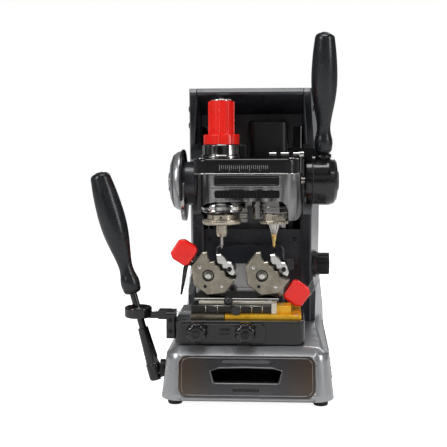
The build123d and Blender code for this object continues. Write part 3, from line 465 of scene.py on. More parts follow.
def rounded(x0, x1, z0, z1, r, n=6):
    pts = []
    for cx_, cz_, a0 in ((x1 - r, z1 - r, 0), (x0 + r, z1 - r, 90), (x0 + r, z0 + r, 180), (x1 - r, z0 + r, 270)):
        for i in range(n + 1):
            a = math.radians(a0 + 90 * i / n)
            pts.append((cx_ + r * math.cos(a), cz_ + r * math.sin(a)))
    return pts


def rbox(name, lo, hi, r, mat, body, plane="xz", bevel=0.5, **kw):
    """Block with rounded outline corners (radius r) and eased edges (bevel), mm."""
    ax = {"xz": (0, 2, 1), "xy": (0, 1, 2), "yz": (1, 2, 0)}[plane]
    pts = rounded(lo[ax[0]], hi[ax[0]], lo[ax[1]], hi[ax[1]], r)
    return prism(name, pts, plane, lo[ax[2]], hi[ax[2]], mat, body, bevel=bevel * MM, **kw)


def tube(name, pts, rad, mat, body, seg=16, cap=True, **kw):
    """Round bar or cable through points (mm), rad a number or one per point."""
    P = [Vector(p) * MM for p in pts]
    R = rad if isinstance(rad, (list, tuple)) else [rad] * len(P)
    verts, faces = [], []
    prev = None
    for i, p in enumerate(P):
        d = (P[min(i + 1, len(P) - 1)] - P[max(i - 1, 0)]).normalized()
        if prev is None:
            _, u, v = frame_of(d)
        else:
            u = prev[0] - d * prev[0].dot(d); u.normalize(); v = d.cross(u)
        prev = (u, v)
        for k in range(seg):
            th = 2 * math.pi * k / seg
            verts.append(p + (u * math.cos(th) + v * math.sin(th)) * R[i] * MM)
    for i in range(len(P) - 1):
        for k in range(seg):
            k2 = (k + 1) % seg
            faces.append((i * seg + k, i * seg + k2, (i + 1) * seg + k2, (i + 1) * seg + k))
    if cap:
        faces.append(tuple(range(seg - 1, -1, -1)))
        faces.append(tuple((len(P) - 1) * seg + k for k in range(seg)))
    return new_obj(name, verts, faces, mat, body, **kw)


def smooth_path(pts, n=8):
    out = []
    for i in range(len(pts) - 1):
        p0, p1, p2, p3 = [Vector(pts[max(0, min(len(pts) - 1, j))]) for j in (i - 1, i, i + 1, i + 2)]
        for k in range(n):
            s = k / n
            out.append(0.5 * ((2 * p1) + (-p0 + p2) * s + (2 * p0 - 5 * p1 + 4 * p2 - p3) * s * s + (-p0 + 3 * p1 - 3 * p2 + p3) * s ** 3))
    out.append(Vector(pts[-1]))
    return out


def screw(name, pos, axis, mat, body, r=2.6, h=1.8, hexr=1.3, slot=None):
    """Socket head cap screw: domed rim and a hexagon socket."""
    a, u, v = frame_of(axis)
    o = Vector(pos) * MM
    seg = 36
    prof = [(r, 0.0), (r, h - 0.35), (r - 0.12, h - 0.12), (r - 0.4, h)]
    verts, faces, rings = [], [], []
    for rr, hh in prof:
        idx = []
        for k in range(seg):
            th = 2 * math.pi * k / seg
            idx.append(len(verts)); verts.append(o + a * hh * MM + (u * math.cos(th) + v * math.sin(th)) * rr * MM)
        rings.append(idx)

    def hexp(th, rad):
        k = (th % (math.pi / 3)) - math.pi / 6
        return rad * math.cos(math.pi / 6) / math.cos(k)
    for hh in (h, h - 1.2):
        idx = []
        for k in range(seg):
            th = 2 * math.pi * k / seg
            rr = hexp(th, hexr)
            idx.append(len(verts)); verts.append(o + a * hh * MM + (u * math.cos(th) + v * math.sin(th)) * rr * MM)
        rings.append(idx)
    for A, B in zip(rings, rings[1:]):
        for k in range(seg):
            k2 = (k + 1) % seg
            faces.append((A[k], A[k2], B[k2], B[k]))
    faces.append(tuple(rings[-1]))
    faces.append(tuple(reversed(rings[0])))
    ob = new_obj(name, verts, faces, mat, body, slot=slot, wn=False)
    ob.data.set_sharp_from_angle(angle=math.radians(30))
    return ob


def join(name, obs):
    """Joins pieces into one mesh object, its modifiers applied first."""
    dg = bpy.context.evaluated_depsgraph_get()
    bm = bmesh.new()
    mats = []
    for o in obs:
        ev = o.evaluated_get(dg)
        me = bpy.data.meshes.new_from_object(ev)
        me.transform(o.matrix_world)
        base = len(mats)
        for mslot in me.materials:
            mats.append(mslot)
        nb = len(bm.faces)
        bm.from_mesh(me)
        bm.faces.ensure_lookup_table()
        for f in bm.faces[nb:]:
            f.material_index = base + f.material_index
        bpy.data.meshes.remove(me)
    me = bpy.data.meshes.new(name)
    bm.to_mesh(me); bm.free()
    for mslot in mats:
        me.materials.append(mslot)
    body = obs[0]["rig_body"]
    slot_ = obs[0].get("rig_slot")
    for o in obs:
        bpy.data.objects.remove(o)
    ob = bpy.data.objects.new(name, me)
    bpy.context.scene.collection.objects.link(ob)
    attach(ob, body)
    if slot_:
        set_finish(ob, slot_)
    return ob


def dress(node, mat, bevel=0.35, segs=2, angle=28, dissolve=False):
    """A carried CAD node: its own mesh with eased edges and a procedural finish."""
    ob = NODES[node]
    me = ob.data
    me.materials.clear()
    me.materials.append(M[mat] if isinstance(mat, str) else mat)
    if "custom_normal" in me.attributes:
        me.attributes.remove(me.attributes["custom_normal"])
    for nm in ("sharp_edge", "sharp_face"):
        if nm in me.attributes:
            me.attributes.remove(me.attributes[nm])
    for poly in me.polygons:
        poly.use_smooth = True
        poly.material_index = 0
    w = ob.modifiers.new("weld", "WELD")
    w.merge_threshold = 2e-6
    if dissolve:
        d = ob.modifiers.new("flat", "DECIMATE")
        d.decimate_type = "DISSOLVE"
        d.angle_limit = math.radians(0.6)
    if bevel > 0:
        b = ob.modifiers.new("edge", "BEVEL")
        b.width = bevel * MM
        b.segments = segs
        b.limit_method = "ANGLE"
        b.angle_limit = math.radians(angle)
        b.use_clamp_overlap = True
    n = ob.modifiers.new("wn", "WEIGHTED_NORMAL")
    n.mode = "FACE_AREA_WITH_ANGLE"
    n.weight = 60
    n.keep_sharp = False
    return ob


# ------------------------------------------------------------------ carried CAD nodes
CARRY = {
    "base_shell": ("silver", 0.0), "base_plate": ("zinc", 0.3), "rubber_feet": ("rubber", 0.4), "column_frame": ("cast", 0.5), "z_guide_rods": ("chrome", 0.2),
    "z_rack": ("steel", 0.1), "y_guide_rods": ("chrome", 0.2), "right_side_shell": ("shell_r", 0.7), "left_side_shell": ("shell_l", 0.7),
    "visor": ("dark_shell", 0.6), "rear_cover": ("dark_shell", 0.5), "front_panel": ("dark_shell", 0.6), "chip_guards": ("clear", 0.3),
    "motor_controller": ("ctrl", 0.1), "power_inlet": ("black_plastic", 0.3),
    "head_casting": ("head_cast", 0.5), "head_shell": ("chrome_head", 0.7), "head_lid": ("dark_gloss", 0.5), "head_bearings": ("steel_z", 0.3),
    "tracer_collars": ("chrome_turn", 0.25), "motor": ("steel_z", 0.4), "motor_cover": ("black_plastic", 0.6), "drive_belt": ("rubber", 0.1),
    "spring_cap": ("silver", 0.4), "motor_pulley": ("alu", 0.2), "tracer_knob": ("red", 0.45), "tracer_quill": ("cream", 0.3),
    "tracer_point": ("steel_z", 0.05), "tracer_spring": ("steel", 0.0), "spindle_shaft": ("steel_z", 0.2), "collet_nut": ("cream", 0.35),
    "collet": ("steel_z", 0.15), "cutter": ("gold", 0.0), "pinion_shaft": ("steel", 0.1), "lever_hub": ("dark_gloss", 0.5),
    "right_grip": ("grip", 0.4), "spindle_lock_pin": ("chrome", 0.3), "saddle_block": ("cast", 0.4), "x_guide_rods": ("chrome", 0.2),
    "table_cover": ("dark_gloss", 0.5), "riser_block": ("riser", 0.35), "clamp_plate": ("cream_plate", 0.35), "clamp_carrier": ("dark_chrome", 0.6),
    "lever_ring_arm": ("dark_gloss", 0.5), "chip_tray": ("clear", 0.2), "x_lock_knob": ("dark_gloss", 0.5), "y_lock_knob": ("dark_gloss", 0.5),
    "stop_lever": ("dark_gloss", 0.3), "left_clamp_jaw": ("nickel", 0.25), "right_clamp_jaw": ("nickel", 0.25), "left_moving_jaw": ("bright", 0.25),
    "right_moving_jaw": ("bright", 0.25), "left_clamp_lever": ("lever_l", 0.3), "right_clamp_lever": ("lever_r", 0.3), "lever_knuckle": ("black_plastic", 0.3),
    "joystick_rod": ("dark_gloss", 0.3), "left_grip": ("grip", 0.4), "speed_knob": ("black_plastic", 0.4), "power_switch": ("black_plastic", 0.3),
    "drawer": ("gunmetal", 0.5),
}
for node, (mt, bv) in CARRY.items():
    dress(node, mt, bv)

# ------------------------------------------------------------------ detail pieces
_trees = {}


def hit(node, origin, direction):
    """Where a ray meets a carried node, mm in, (Vector mm, normal) out."""
    if node not in _trees:
        ob = NODES[node]
        _trees[node] = BVHTree.FromPolygons([ob.matrix_world @ v.co for v in ob.data.vertices], [tuple(f.vertices) for f in ob.data.polygons])
    loc, nor, _, _ = _trees[node].ray_cast(Vector(origin) * MM, Vector(direction).normalized())
    if loc is None:
        return None, None
    return loc / MM, nor


def strip(name, p0, p1, out, width, thick, mat, body):
    """Thin bar from p0 to p1, mm, standing thick out of the surface along out."""
    p0, p1, n = Vector(p0), Vector(p1), Vector(out).normalized()
    s = (p1 - p0).cross(n).normalized() * (width / 2)
    vs = [p0 - s - n * 0.3, p0 + s - n * 0.3, p1 + s - n * 0.3, p1 - s - n * 0.3, p0 - s + n * thick, p0 + s + n * thick, p1 + s + n * thick, p1 - s + n * thick]
    fs = [(0, 3, 2, 1), (4, 5, 6, 7), (0, 1, 5, 4), (1, 2, 6, 5), (2, 3, 7, 6), (3, 0, 4, 7)]
    return new_obj(name, [v * MM for v in vs], fs, mat, body, wn=False)


TX, SX, TY, SY, SZ = -31.8, 27.4, -45.0, -8.0, 234.0
CXL, CXR, CZ = -38.5, 20.7, 136.0
UP, FRONT, LEFT, RIGHT, BACK = (0, 0, 1), (0, -1, 0), (-1, 0, 0), (1, 0, 0), (0, 1, 0)

# head front: plaque, bezel, trim line, vent grille
rbox("plaque_bezel", (-40.0, -71.7, 229.9), (35.0, -70.4, 243.4), 3.0, "chrome", "head", bevel=0.4)
rbox("plaque_panel", (-38.4, -72.2, 231.2), (33.4, -71.2, 242.2), 2.2, "dark_gloss", "head", bevel=0.3)
join("plaque_frame_line", [tube(f"pf{i}", [(-36 + 0, -72.3, z), (31, -72.3, z)], 0.28, "dark_chrome", "head", seg=8) for i, z in enumerate((232.8, 240.6))])
rbox("head_trim_line", (-42.0, -72.4, 227.9), (37.5, -70.4, 229.1), 0.5, "chrome", "head", bevel=0.2)
rbox("vent_back", (-39.5, -68.9, 216.9), (35.0, -67.6, 227.0), 1.5, "black_plastic", "head", bevel=0.2)
join("vent_grille", [rbox(f"vg{i}", (-37.2 + i * 4.1, -71.0, 217.4), (-36.0 + i * 4.1, -68.7, 226.4), 0.4, "black_steel", "head", bevel=0.2) for i in range(18)])
# lid: scale ticks on the front, screws
tk = []
for i in range(25):
    x = -32 + i * 2.2
    tk.append(strip(f"tk{i}", (x, -78.0, 250.0 if i % 5 else 247.6), (x, -78.0, 254.0), FRONT, 0.45, 0.12, "white_mark", "head"))
join("lid_scale_ticks", tk)
rbox("lid_scale_plate", (-35.0, -78.05, 246.4), (23.6, -77.7, 255.4), 1.0, "black_steel", "head", bevel=0.05)
for i, (x, y) in enumerate(((-53, -66), (47, -66), (-53, -14), (49, -26))):
    q, nn = hit("head_lid", (x, y, 300), (0, 0, -1))
    if q and q.z > 255:
        screw(f"lid_screw_{i}", q - Vector((0, 0, 0.3)), UP, "black_steel", "head", r=2.6, h=1.5, hexr=1.2)
        lathe(f"lid_washer_{i}", [(3.6, -0.2), (3.6, 0.4), (3.2, 0.6), (2.5, 0.6)], q, UP, "chrome", "head", seg=40)
rbox("lid_lock_block", (-12.0, -50.0, 261.3), (-4.0, -41.0, 276.2), 1.2, "dark_gloss", "head", bevel=0.6)
# tracer knob: chrome cap, seam ring, centre screw
lathe("tracer_knob_cap", [(12.4, 0), (12.5, 0.8), (11.9, 1.5), (8.2, 2.2), (7.4, 1.5), (0, 1.5)], (TX, TY, 325.5), UP, "chrome", "tracer_adjuster", seg=72)
screw("tracer_knob_screw", (TX, TY, 326.9), UP, "steel_z", "tracer_adjuster", r=3.0, h=1.6, hexr=1.5)
lathe("tracer_seal_ring", [(18.6, 0), (19.4, 0.2), (19.4, 0.9), (18.6, 1.1), (12, 1.1), (12, 0)], (TX, TY, 276.4), UP, "rubber", "tracer_adjuster", seg=72, closed=True)
tk = []
for i in range(30):
    a = 2 * math.pi * i / 30
    x, y = TX + 21.35 * math.cos(a), TY + 21.35 * math.sin(a)
    tk.append(strip(f"ct{i}", (x, y, 271.2 if i % 5 else 269.0), (x, y, 274.8), (math.cos(a), math.sin(a), 0), 0.5, 0.14, "black_steel", "head"))
join("collar_scale_ticks", tk)
# tracer bowl and knurled ring
lathe("tracer_bowl", [(16.9, 199.2), (20.6, 200.6), (23.4, 203.6), (24.3, 207.4), (23.4, 211.2), (20.0, 213.6), (10.6, 213.8), (10.6, 211.6), (19.0, 211.2), (21.6, 208.4), (21.0, 205.0), (17.2, 201.4)],
      (TX, TY, 0), UP, "chrome_turn", "head", seg=96, closed=True)
lathe("tracer_ring_knurl", [(21.5, 188.1), (21.95, 188.4), (21.95, 191.2), (21.5, 191.5)], (TX, TY, 0), UP, "cream", "tracer_sleeve", seg=216, ripple=lambda th, r, h: r + 0.14 * math.cos(54 * th))
screw("tracer_set_screw", (TX, TY - 15.9, 195.6), FRONT, "black_steel", "tracer_sleeve", r=1.25, h=0.8, hexr=0.6)
# spindle: nose rings, nut holes, collet slots, fluted cutter
lathe("spindle_nose_ring", [(16.1, 205.4), (16.6, 205.8), (16.6, 207.0), (16.1, 207.4)], (SX, TY, 0), UP, "dark_chrome", "head", seg=80)
for i in range(4):
    a = math.radians(-90 + 22.5 - 22.5 + 90 * i)
    d = Vector((math.cos(a), math.sin(a), 0))
    lathe(f"nut_hole_{i}", [(1.9, -0.4), (1.9, 0.25), (1.45, 0.25), (1.45, -0.2), (0, -0.2)], Vector((SX, TY, 194.3)) + d * 12.55, d, "black_steel", "spindle", seg=28)
join("nut_flange_notches", [strip(f"nf{i}", (SX + 16.35 * math.cos(i * math.pi / 12), TY + 16.35 * math.sin(i * math.pi / 12), 187.9), (SX + 16.35 * math.cos(i * math.pi / 12), TY + 16.35 * math.sin(i * math.pi / 12), 190.1),
     (math.cos(i * math.pi / 12), math.sin(i * math.pi / 12), 0), 0.7, 0.1, "black_steel", "spindle") for i in range(24)])
cs = []
for i in range(4):
    a = 2 * math.pi * i / 4 + 0.5
    c_, s_ = math.cos(a), math.sin(a)
    cs.append(strip(f"cs{i}", (SX + 3.4 * c_, TY + 3.4 * s_, 175.7), (SX + 6.6 * c_, TY + 6.6 * s_, 186.2), (c_, s_, -0.3), 0.6, 0.1, "black_steel", "spindle"))
join("collet_slots", cs)


def cutter_prof():
    key = [(159.9, 0.8), (161.2, 1.5), (166.5, 1.75), (173.5, 3.0)]
    pts = [(0, 159.9)]
    for (z0, r0), (z1, r1) in zip(key, key[1:]):
        n = max(2, int((z1 - z0) / 0.35))
        for k in range(n):
            f = k / n
            pts.append((r0 + (r1 - r0) * f, z0 + (z1 - z0) * f))
    return pts + [(3.0, 173.5), (3.0, 204.0), (0, 204.0)]


ct = lathe("cutter_fluted", cutter_prof(), (SX, TY, 0), UP, "gold", "spindle", seg=60,
           ripple=lambda th, r, h: r if h > 173.4 else r * (1 - 0.34 * max(0.0, math.cos(2 * th - (h - 160) * 0.5)) ** 3))
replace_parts(ct, "cutter")

ed = [(-62.2, -30.0), (-62.2, -60.0)] + [(-45.2 - 17.0 * math.cos(math.radians(a)), -61.2 - 17.0 * math.sin(math.radians(a))) for a in range(0, 91, 10)]
ed += [(39.4 + 17.0 * math.sin(math.radians(a)), -61.2 - 17.0 * math.cos(math.radians(a))) for a in range(0, 91, 10)] + [(56.4, -40.0)]
tube("lid_lower_trim", [(a, b, 244.9) for a, b in ed], 0.55, "chrome", "head", seg=10)
# spring housing on the left
lathe("spring_housing_sleeve", [(22.2, 0), (24.6, 0), (25.6, 1.0), (25.6, 16.2), (24.6, 17.2), (22.2, 17.2)], (-80.3, SY, SZ - 3), RIGHT, "dark_shell", "head", seg=96, closed=True)
lathe("spring_cap_centre", [(10.4, -0.4), (10.4, 1.0), (9.2, 2.0), (5.6, 2.3), (4.8, 1.4), (0, 1.4)], (-94.0, SY, SZ), LEFT, "chrome", "head", seg=64)
lathe("spring_cap_groove", [(29.2, -0.6), (30.6, 0.1), (31.4, -0.7)], (-89.6, SY, SZ), LEFT, "black_steel", "head", seg=96)
lathe("spring_cap_ring", [(33.0, 0), (36.2, 0.0), (36.8, 0.8), (36.8, 2.6), (36.0, 3.4), (33.0, 3.4)], (-80.6, SY, SZ), RIGHT, "black_plastic", "head", seg=96, closed=True)
for i in range(3):
    a = math.radians(90 + 120 * i)
    screw(f"spring_cap_screw_{i}", (-93.3, SY + 17 * math.cos(a), SZ + 17 * math.sin(a)), LEFT, "black_steel", "head", r=2.3, h=1.4, hexr=1.1)

# feed lever hub on the right
GD = Vector((0, -math.sin(math.radians(12)), math.cos(math.radians(12))))
GO = Vector((83.8, SY, SZ))
lathe("hub_end_cap", [(11.5, -0.5), (11.5, 0.7), (10.2, 1.5), (0, 1.7)], (100.4, SY, SZ), RIGHT, "black_plastic", "feed_lever", seg=64)
lathe("hub_groove", [(28.0, 0), (28.75, 0.4), (28.75, 1.6), (28.0, 2.0)], (70.4, SY, SZ), RIGHT, "black_steel", "feed_lever", seg=96)
lathe("hub_neck_collar", [(5.2, 28.0), (9.0, 28.2), (9.4, 29.2), (9.2, 31.2), (7.4, 32.6), (6.2, 33.4)], GO, GD, "black_steel", "feed_lever", seg=64)
screw("hub_set_screw", (83.8, SY - 28.2, SZ), FRONT, "black_steel", "feed_lever", r=2.8, h=0.9, hexr=1.5)
# grip end buttons
JP = Vector((-104.0, -95.0, 32.0))
la = math.radians(-15.1)
JD = Vector((math.sin(la), 0, math.cos(la)))
lathe("right_grip_button", [(4.6, -0.4), (4.6, 0.3), (3.6, 0.9), (0, 1.1)], GO + GD * (33.4 + 136.0), GD, "black_plastic", "feed_lever", seg=40)
lathe("left_grip_button", [(4.6, -0.4), (4.6, 0.3), (3.6, 0.9), (0, 1.1)], JP + JD * (86.0 + 136.0), JD, "black_plastic", "joystick", seg=40)
lathe("right_grip_ferrule", [(5.2, 0.6), (7.9, 0.5), (8.9, 1.6), (9.6, 3.2), (10.15, 4.6), (9.7, 4.8)], GO + GD * 33.4, GD, "black_steel", "feed_lever", seg=56)
lathe("left_grip_ferrule", [(5.2, 0.6), (7.9, 0.5), (8.9, 1.6), (9.6, 3.2), (10.15, 4.6), (9.7, 4.8)], JP + JD * 86.0, JD, "black_steel", "joystick", seg=56)
for i, z in enumerate((89.0, 77.0)):
    screw(f"ring_arm_screw_{i}", (-83.0, -116.8, z), FRONT, "black_steel", "table", r=2.5, h=1.4, hexr=1.2)

# key clamps
for tag, c in (("left", CXL), ("right", CXR)):
    bd = f"{tag}_clamp"
    lathe(f"{tag}_clamp_bush", [(5.3, -3.3), (5.3, 0.1), (6.3, 0.35), (6.7, 0.1), (6.7, -0.5)], (c - 6.0, -84.0, CZ - 3.0), FRONT, "black_steel", bd, seg=48)
    screw(f"{tag}_clamp_screw", (c - 6.0, -83.0, CZ - 3.0), FRONT, "bright", bd, r=3.3, h=1.7, hexr=1.6)
    for i, (dx, dz) in enumerate(((-15.5, 6.0), (-9.5, -15.0), (9.0, -15.5))):
        lathe(f"{tag}_clamp_dowel_{i}", [(1.9, -0.5), (1.9, 0.15), (1.5, 0.4), (0, 0.45)], (c + dx, -84.0, CZ + dz), FRONT, "bright" if i != 1 else "black_steel", bd, seg=28)
    jb = f"{tag}_jaw"
    screw(f"{tag}_jaw_screw", (c + 17.6, -83.2, CZ + 4.4), FRONT, "black_steel", jb, r=2.5, h=2.2, hexr=1.2)
    lathe(f"{tag}_clamp_hub_nut", [(9.0, 0), (9.0, 2.2), (8.0, 3.0), (0, 3.0)], (c, -55.6, CZ), BACK, "black_steel", bd, seg=40)
tube("left_clamp_release", [(-59, -74, 143.0), (-65, -74.5, 145.2), (-68.8, -74.5, 144.6), (-70.6, -74.5, 140.0), (-72.6, -74.5, 128.0), (-75.6, -74.5, 110.2)], [2.4, 2.5, 2.6, 2.6, 2.1, 1.2], "dark_gloss", "left_clamp", seg=20)
rbox("right_lever_block", (35.8, -71.6, 137.5), (49.2, -66.2, 150.2), 2.5, "dark_gloss", "right_handle", bevel=0.8)

# table: front pad, recess, plate lines
rbox("table_front_pad", (-70.7, -123.2, 67.0), (19.6, -121.4, 87.0), 4.0, "dark_gloss", "table", bevel=0.9)
pp = rounded(-69.2, 18.1, 68.5, 85.5, 3.2)
tube("table_pad_line", [(a, -123.25, b) for a, b in pp] + [(pp[0][0], -123.25, pp[0][1])], 0.3, "dark_chrome", "table", seg=8, cap=False)
rbox("table_recess", (-28.6, -123.5, 79.6), (-18.4, -123.1, 84.6), 1.0, "black_plastic", "table", bevel=0.1)
rs = [rbox("rs0", (-62, -112, 90.05), (-25.2, -32, 94.5), 0.8, "bronze_strip", "table", bevel=0.35), rbox("rs1", (-24.8, -112, 90.05), (57.5, -32, 94.5), 0.8, "yellow", "table", bevel=0.35),
      rbox("rs2", (-62, -103, 94.4), (26.5, -38, 103.4), 0.8, "dark_step", "table", bevel=0.35), rbox("rs3", (26.8, -103, 94.4), (46.6, -83, 103.4), 0.8, "yellow", "table", bevel=0.4)]
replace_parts(join("riser_stack", rs), "riser_block")
for i, kx in enumerate((-53.4, -1.9)):
    kn = lathe(f"lobed_knob_{i}", [(0, -19.0), (2.9, -19.0), (2.9, -1.2), (5.8, -1.0), (6.2, 0.0), (9.4, 0.2), (10.9, 1.4), (11.3, 3.0), (11.3, 7.2), (10.7, 9.6), (9.2, 11.2), (7.0, 12.0), (5.2, 12.2), (4.8, 11.9), (0, 11.9)],
               (kx, -126.2, 79.6), FRONT, "dark_gloss", ("x_lock", "y_lock")[i], seg=144, ripple=lambda th, r, h: r if r < 6.5 else r - (0.55 + 0.1 * (r - 6.5)) * (0.5 + 0.5 * math.cos(8 * th)) ** 2)
    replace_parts(kn, ("x_lock_knob", "y_lock_knob")[i])
join("step_lines", [strip(f"sl{i}", (x, -103.0, 95.0), (x, -103.0, 103.2), FRONT, 0.55, 0.12, "bright", "table") for i, x in enumerate((-46.0, -33.0, -8.0, 4.0, 15.5))])
strip("step_edge_line", (-61.6, -103.1, 103.0), (26.2, -103.1, 103.0), (0, -1, 0.6), 0.5, 0.1, "bright", "table")
strip("strip_split", (-25.0, -112.0, 90.1), (-25.0, -112.0, 94.4), FRONT, 0.5, 0.06, "black_steel", "table")
for i, x in enumerate((-50.0, 24.0)):
    screw(f"clamp_plate_screw_{i}", (x, -94.5, 106.8), UP, "zinc", "table", r=2.0, h=0.9, hexr=1.0)
for i, x in enumerate((36.6, 52.0, 40.0)):
    screw(f"riser_screw_{i}", (x, (-93.0, -107.6, -60.0)[i], (102.8, 94.3, 94.3)[i]), UP, "zinc", "table", r=2.2, h=0.9, hexr=1.1)
for i, kx in enumerate((-53.4, -1.9)):
    lathe(f"lock_knob_button_{i}", [(4.4, -0.6), (4.4, 0.2), (3.6, 0.6), (0, 0.8)], (kx, -138.1, 79.6), FRONT, "black_steel", ("x_lock", "y_lock")[i], seg=40)

# hood: inner walls, ceiling line
for s, nm in ((1, "right"), (-1, "left")):
    iv = []
    for yy, zz, yc, zc, fb in ((-27.0, 277.0, -24.0, 277.0, 64.0), (-27.0, 331.0, -22.0, 326.0, 68.0), (26.0, 312.4, 26.0, 308.0, 61.0), (26.0, 277.0, 26.0, 277.0, 61.0)):
        q, nn = hit(f"{nm}_side_shell", (s * 40, yc, zc), (s, 0, 0))
        iv.append(((abs(q.x) if q is not None and 55 < abs(q.x) < 76 else fb) - 0.5 if yy < 0 else 60.9, yy, zz))
    vs = [Vector((s * x, y, z)) * MM for x, y, z in iv] + [Vector((s * (x + 1.6), y, z)) * MM for x, y, z in iv]
    fs = [(0, 1, 2, 3), (4, 7, 6, 5), (0, 4, 5, 1), (1, 5, 6, 2), (2, 6, 7, 3), (3, 7, 4, 0)]
    new_obj(f"{nm}_hood_liner", vs, fs, "dark_shell", "base", bevel=0.0004)
strip("hood_lip_line", (-58.0, -31.4, 336.2), (58.0, -31.4, 336.2), FRONT, 0.7, 0.25, "dark_chrome", "base")

# fixings on the shells, found by ray so that they sit on the surface
k = 0
for s, nd in ((1, "right_side_shell"), (-1, "left_side_shell")):
    for y, z in ((112, 78), (28, 98), (122, 200), (34, 215), (108, 300), (10, 318)):
        q, nn = hit(nd, (s * 200, y, z), (-s, 0, 0))
        if q is None:
            continue
        nn = nn if nn.x * s > 0 else -nn
        lathe(f"shell_washer_{k}", [(4.2, -0.5), (4.2, 0.3), (3.7, 0.6), (2.7, 0.6)], q, nn, "black_plastic", "base", seg=40)
        screw(f"shell_screw_{k}", q - nn * 0.4, nn, "black_steel", "base", r=2.8, h=1.7, hexr=1.4)
        k += 1
for i, (x, z) in enumerate(((-52, 128), (52, 128), (-52, 276), (52, 276))):
    q, nn = hit("rear_cover", (x, 250, z), (0, -1, 0))
    if q is not None:
        screw(f"rear_screw_{i}", q - Vector((0, 0.3, 0)), BACK, "zinc", "base", r=2.8, h=1.6, hexr=1.3)
rbox("rating_plate", (-30, 136.9, 240.0), (30, 137.5, 268.0), 1.5, "alu", "base", bevel=0.1)
rbox("rating_plate_field", (-28.2, 137.3, 241.8), (28.2, 137.65, 266.2), 1.0, "black_steel", "base", bevel=0.05)
join("rating_plate_lines", [strip(f"rp{i}", (-26, 137.65, 246 + 4.2 * i), (26, 137.65, 246 + 4.2 * i), BACK, 0.35, 0.08, "alu", "base") for i in range(5)])
for i, (x, z) in enumerate(((-26.6, 243.6), (26.6, 243.6), (-26.6, 264.6), (26.6, 264.6))):
    lathe(f"plate_rivet_{i}", [(1.2, 0), (1.1, 0.5), (0, 0.8)], (x, 137.5, z), BACK, "bright", "base", seg=20)
# front panel fixings
for i, (x, z) in enumerate(((-52, 80), (52, 80), (-52, 162), (52, 162))):
    q, nn = hit("front_panel", (x, -100, z), (0, 1, 0))
    if q is not None and q.y < 40:
        screw(f"panel_screw_{i}", q + Vector((0, 0.3, 0)), FRONT, "black_steel", "base", r=2.4, h=1.4, hexr=1.2)
# light outline round the lower cover
q, nn = hit("front_panel", (0, -100, 120), (0, 1, 0))
if q is not None:
    pp = rounded(-41.5, 37.9, 84, 155.2, 7)
    top = [(a, b) for a, b in pp]
    tube("cover_outline", [(a, q.y - 0.05, b) for a, b in top] + [(top[0][0], q.y - 0.05, top[0][1])], 0.4, "dark_chrome", "base", seg=8, cap=False)

# base: side trims, drawer bezel and plain badge strip
for s in (1, -1):
    nm = "right" if s > 0 else "left"
    parts = []
    for j in range(7):
        z0 = 17.0 + j * 5.2
        pts = []
        for y in range(-70, 96, 6):
            q, nn = hit("base_shell", (s * 200, y, z0), (-s, 0, 0))
            if q is not None:
                pts.append((q.x + s * 0.35, y, z0))
        if len(pts) > 3 and (s > 0 or True):
            if s < 0:
                pts = [p_ for p_ in pts if p_[1] > -40]
            parts.append(tube(f"tr{nm}{j}", pts, 1.5, "black_plastic", "base", seg=10))
    join(f"{nm}_side_trim", parts)
bz = []
for a, b in rounded(-68.6, 68.8, 15.2, 54.2, 7.4, 8):
    q, nn = hit("drawer", (a, -220, b), (0, 1, 0))
    if q is not None:
        bz.append((q.x, q.y - 0.05, q.z))
tube("drawer_bezel_line", bz + [bz[0]], 0.42, "dark_chrome", "drawer", seg=8, cap=False)
sp_ = [(-38.9, 41.0), (-30, 43.9), (0, 44.7), (28, 44.1), (36.9, 41.6), (34.2, 28.9), (31.6, 27.5), (-33.2, 27.5), (-35.8, 28.9)]
sl = []
for (a0, b0), (a1, b1) in zip(sp_, sp_[1:] + sp_[:1]):
    for k_ in range(4):
        a, b = a0 + (a1 - a0) * k_ / 4, b0 + (b1 - b0) * k_ / 4
        q, nn = hit("drawer", (a, -220, b), (0, 1, 0))
        if q is not None and q.y < -130:
            sl.append((q.x, q.y + 0.05, q.z))
tube("drawer_slot_rim", sl + [sl[0]], 0.7, "dark_chrome", "drawer", seg=8, cap=False)
q, nn = hit("drawer", (-1, -220, 20.5), (0, 1, 0))
if q is not None:
    rbox("drawer_badge_blank", (-15, q.y - 0.6, 19.2), (13, q.y + 0.6, 22.2), 1.0, "black_steel", "drawer", bevel=0.2)
q, nn = hit("drawer", (-1, -220, 50), (0, 1, 0))
if q is not None:
    rbox("drawer_raised_strip", (-26, q.y - 0.5, 48.6), (24, q.y + 0.8, 52.2), 1.6, "gunmetal", "drawer", bevel=0.3)

# speed dial ring and pointer
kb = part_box("speed_knob")
kx0, kx1 = kb[0][0] / MM, kb[1][0] / MM
skirt = kx0
for k_ in range(int((kx1 - kx0) * 4)):
    q, nn = hit("speed_knob", (kx0 + k_ / 4, 45.0, 180.0), (0, 0, -1))
    if q is not None and q.z - 129.7 > 8.0:
        skirt = kx0 + k_ / 4
        break
lathe("speed_ring", [(8.0, 0), (13.2, 0.0), (13.8, 0.5), (13.8, 1.6), (13.2, 2.2), (8.0, 2.2)], (skirt - 1.6, 45.0, 129.7), RIGHT, "red", "base", seg=72, closed=True)
strip("speed_pointer", (kx1, 45.0, 133.0), (kx1, 45.0, 138.0), RIGHT, 0.9, 0.15, "white_mark", "speed_dial")

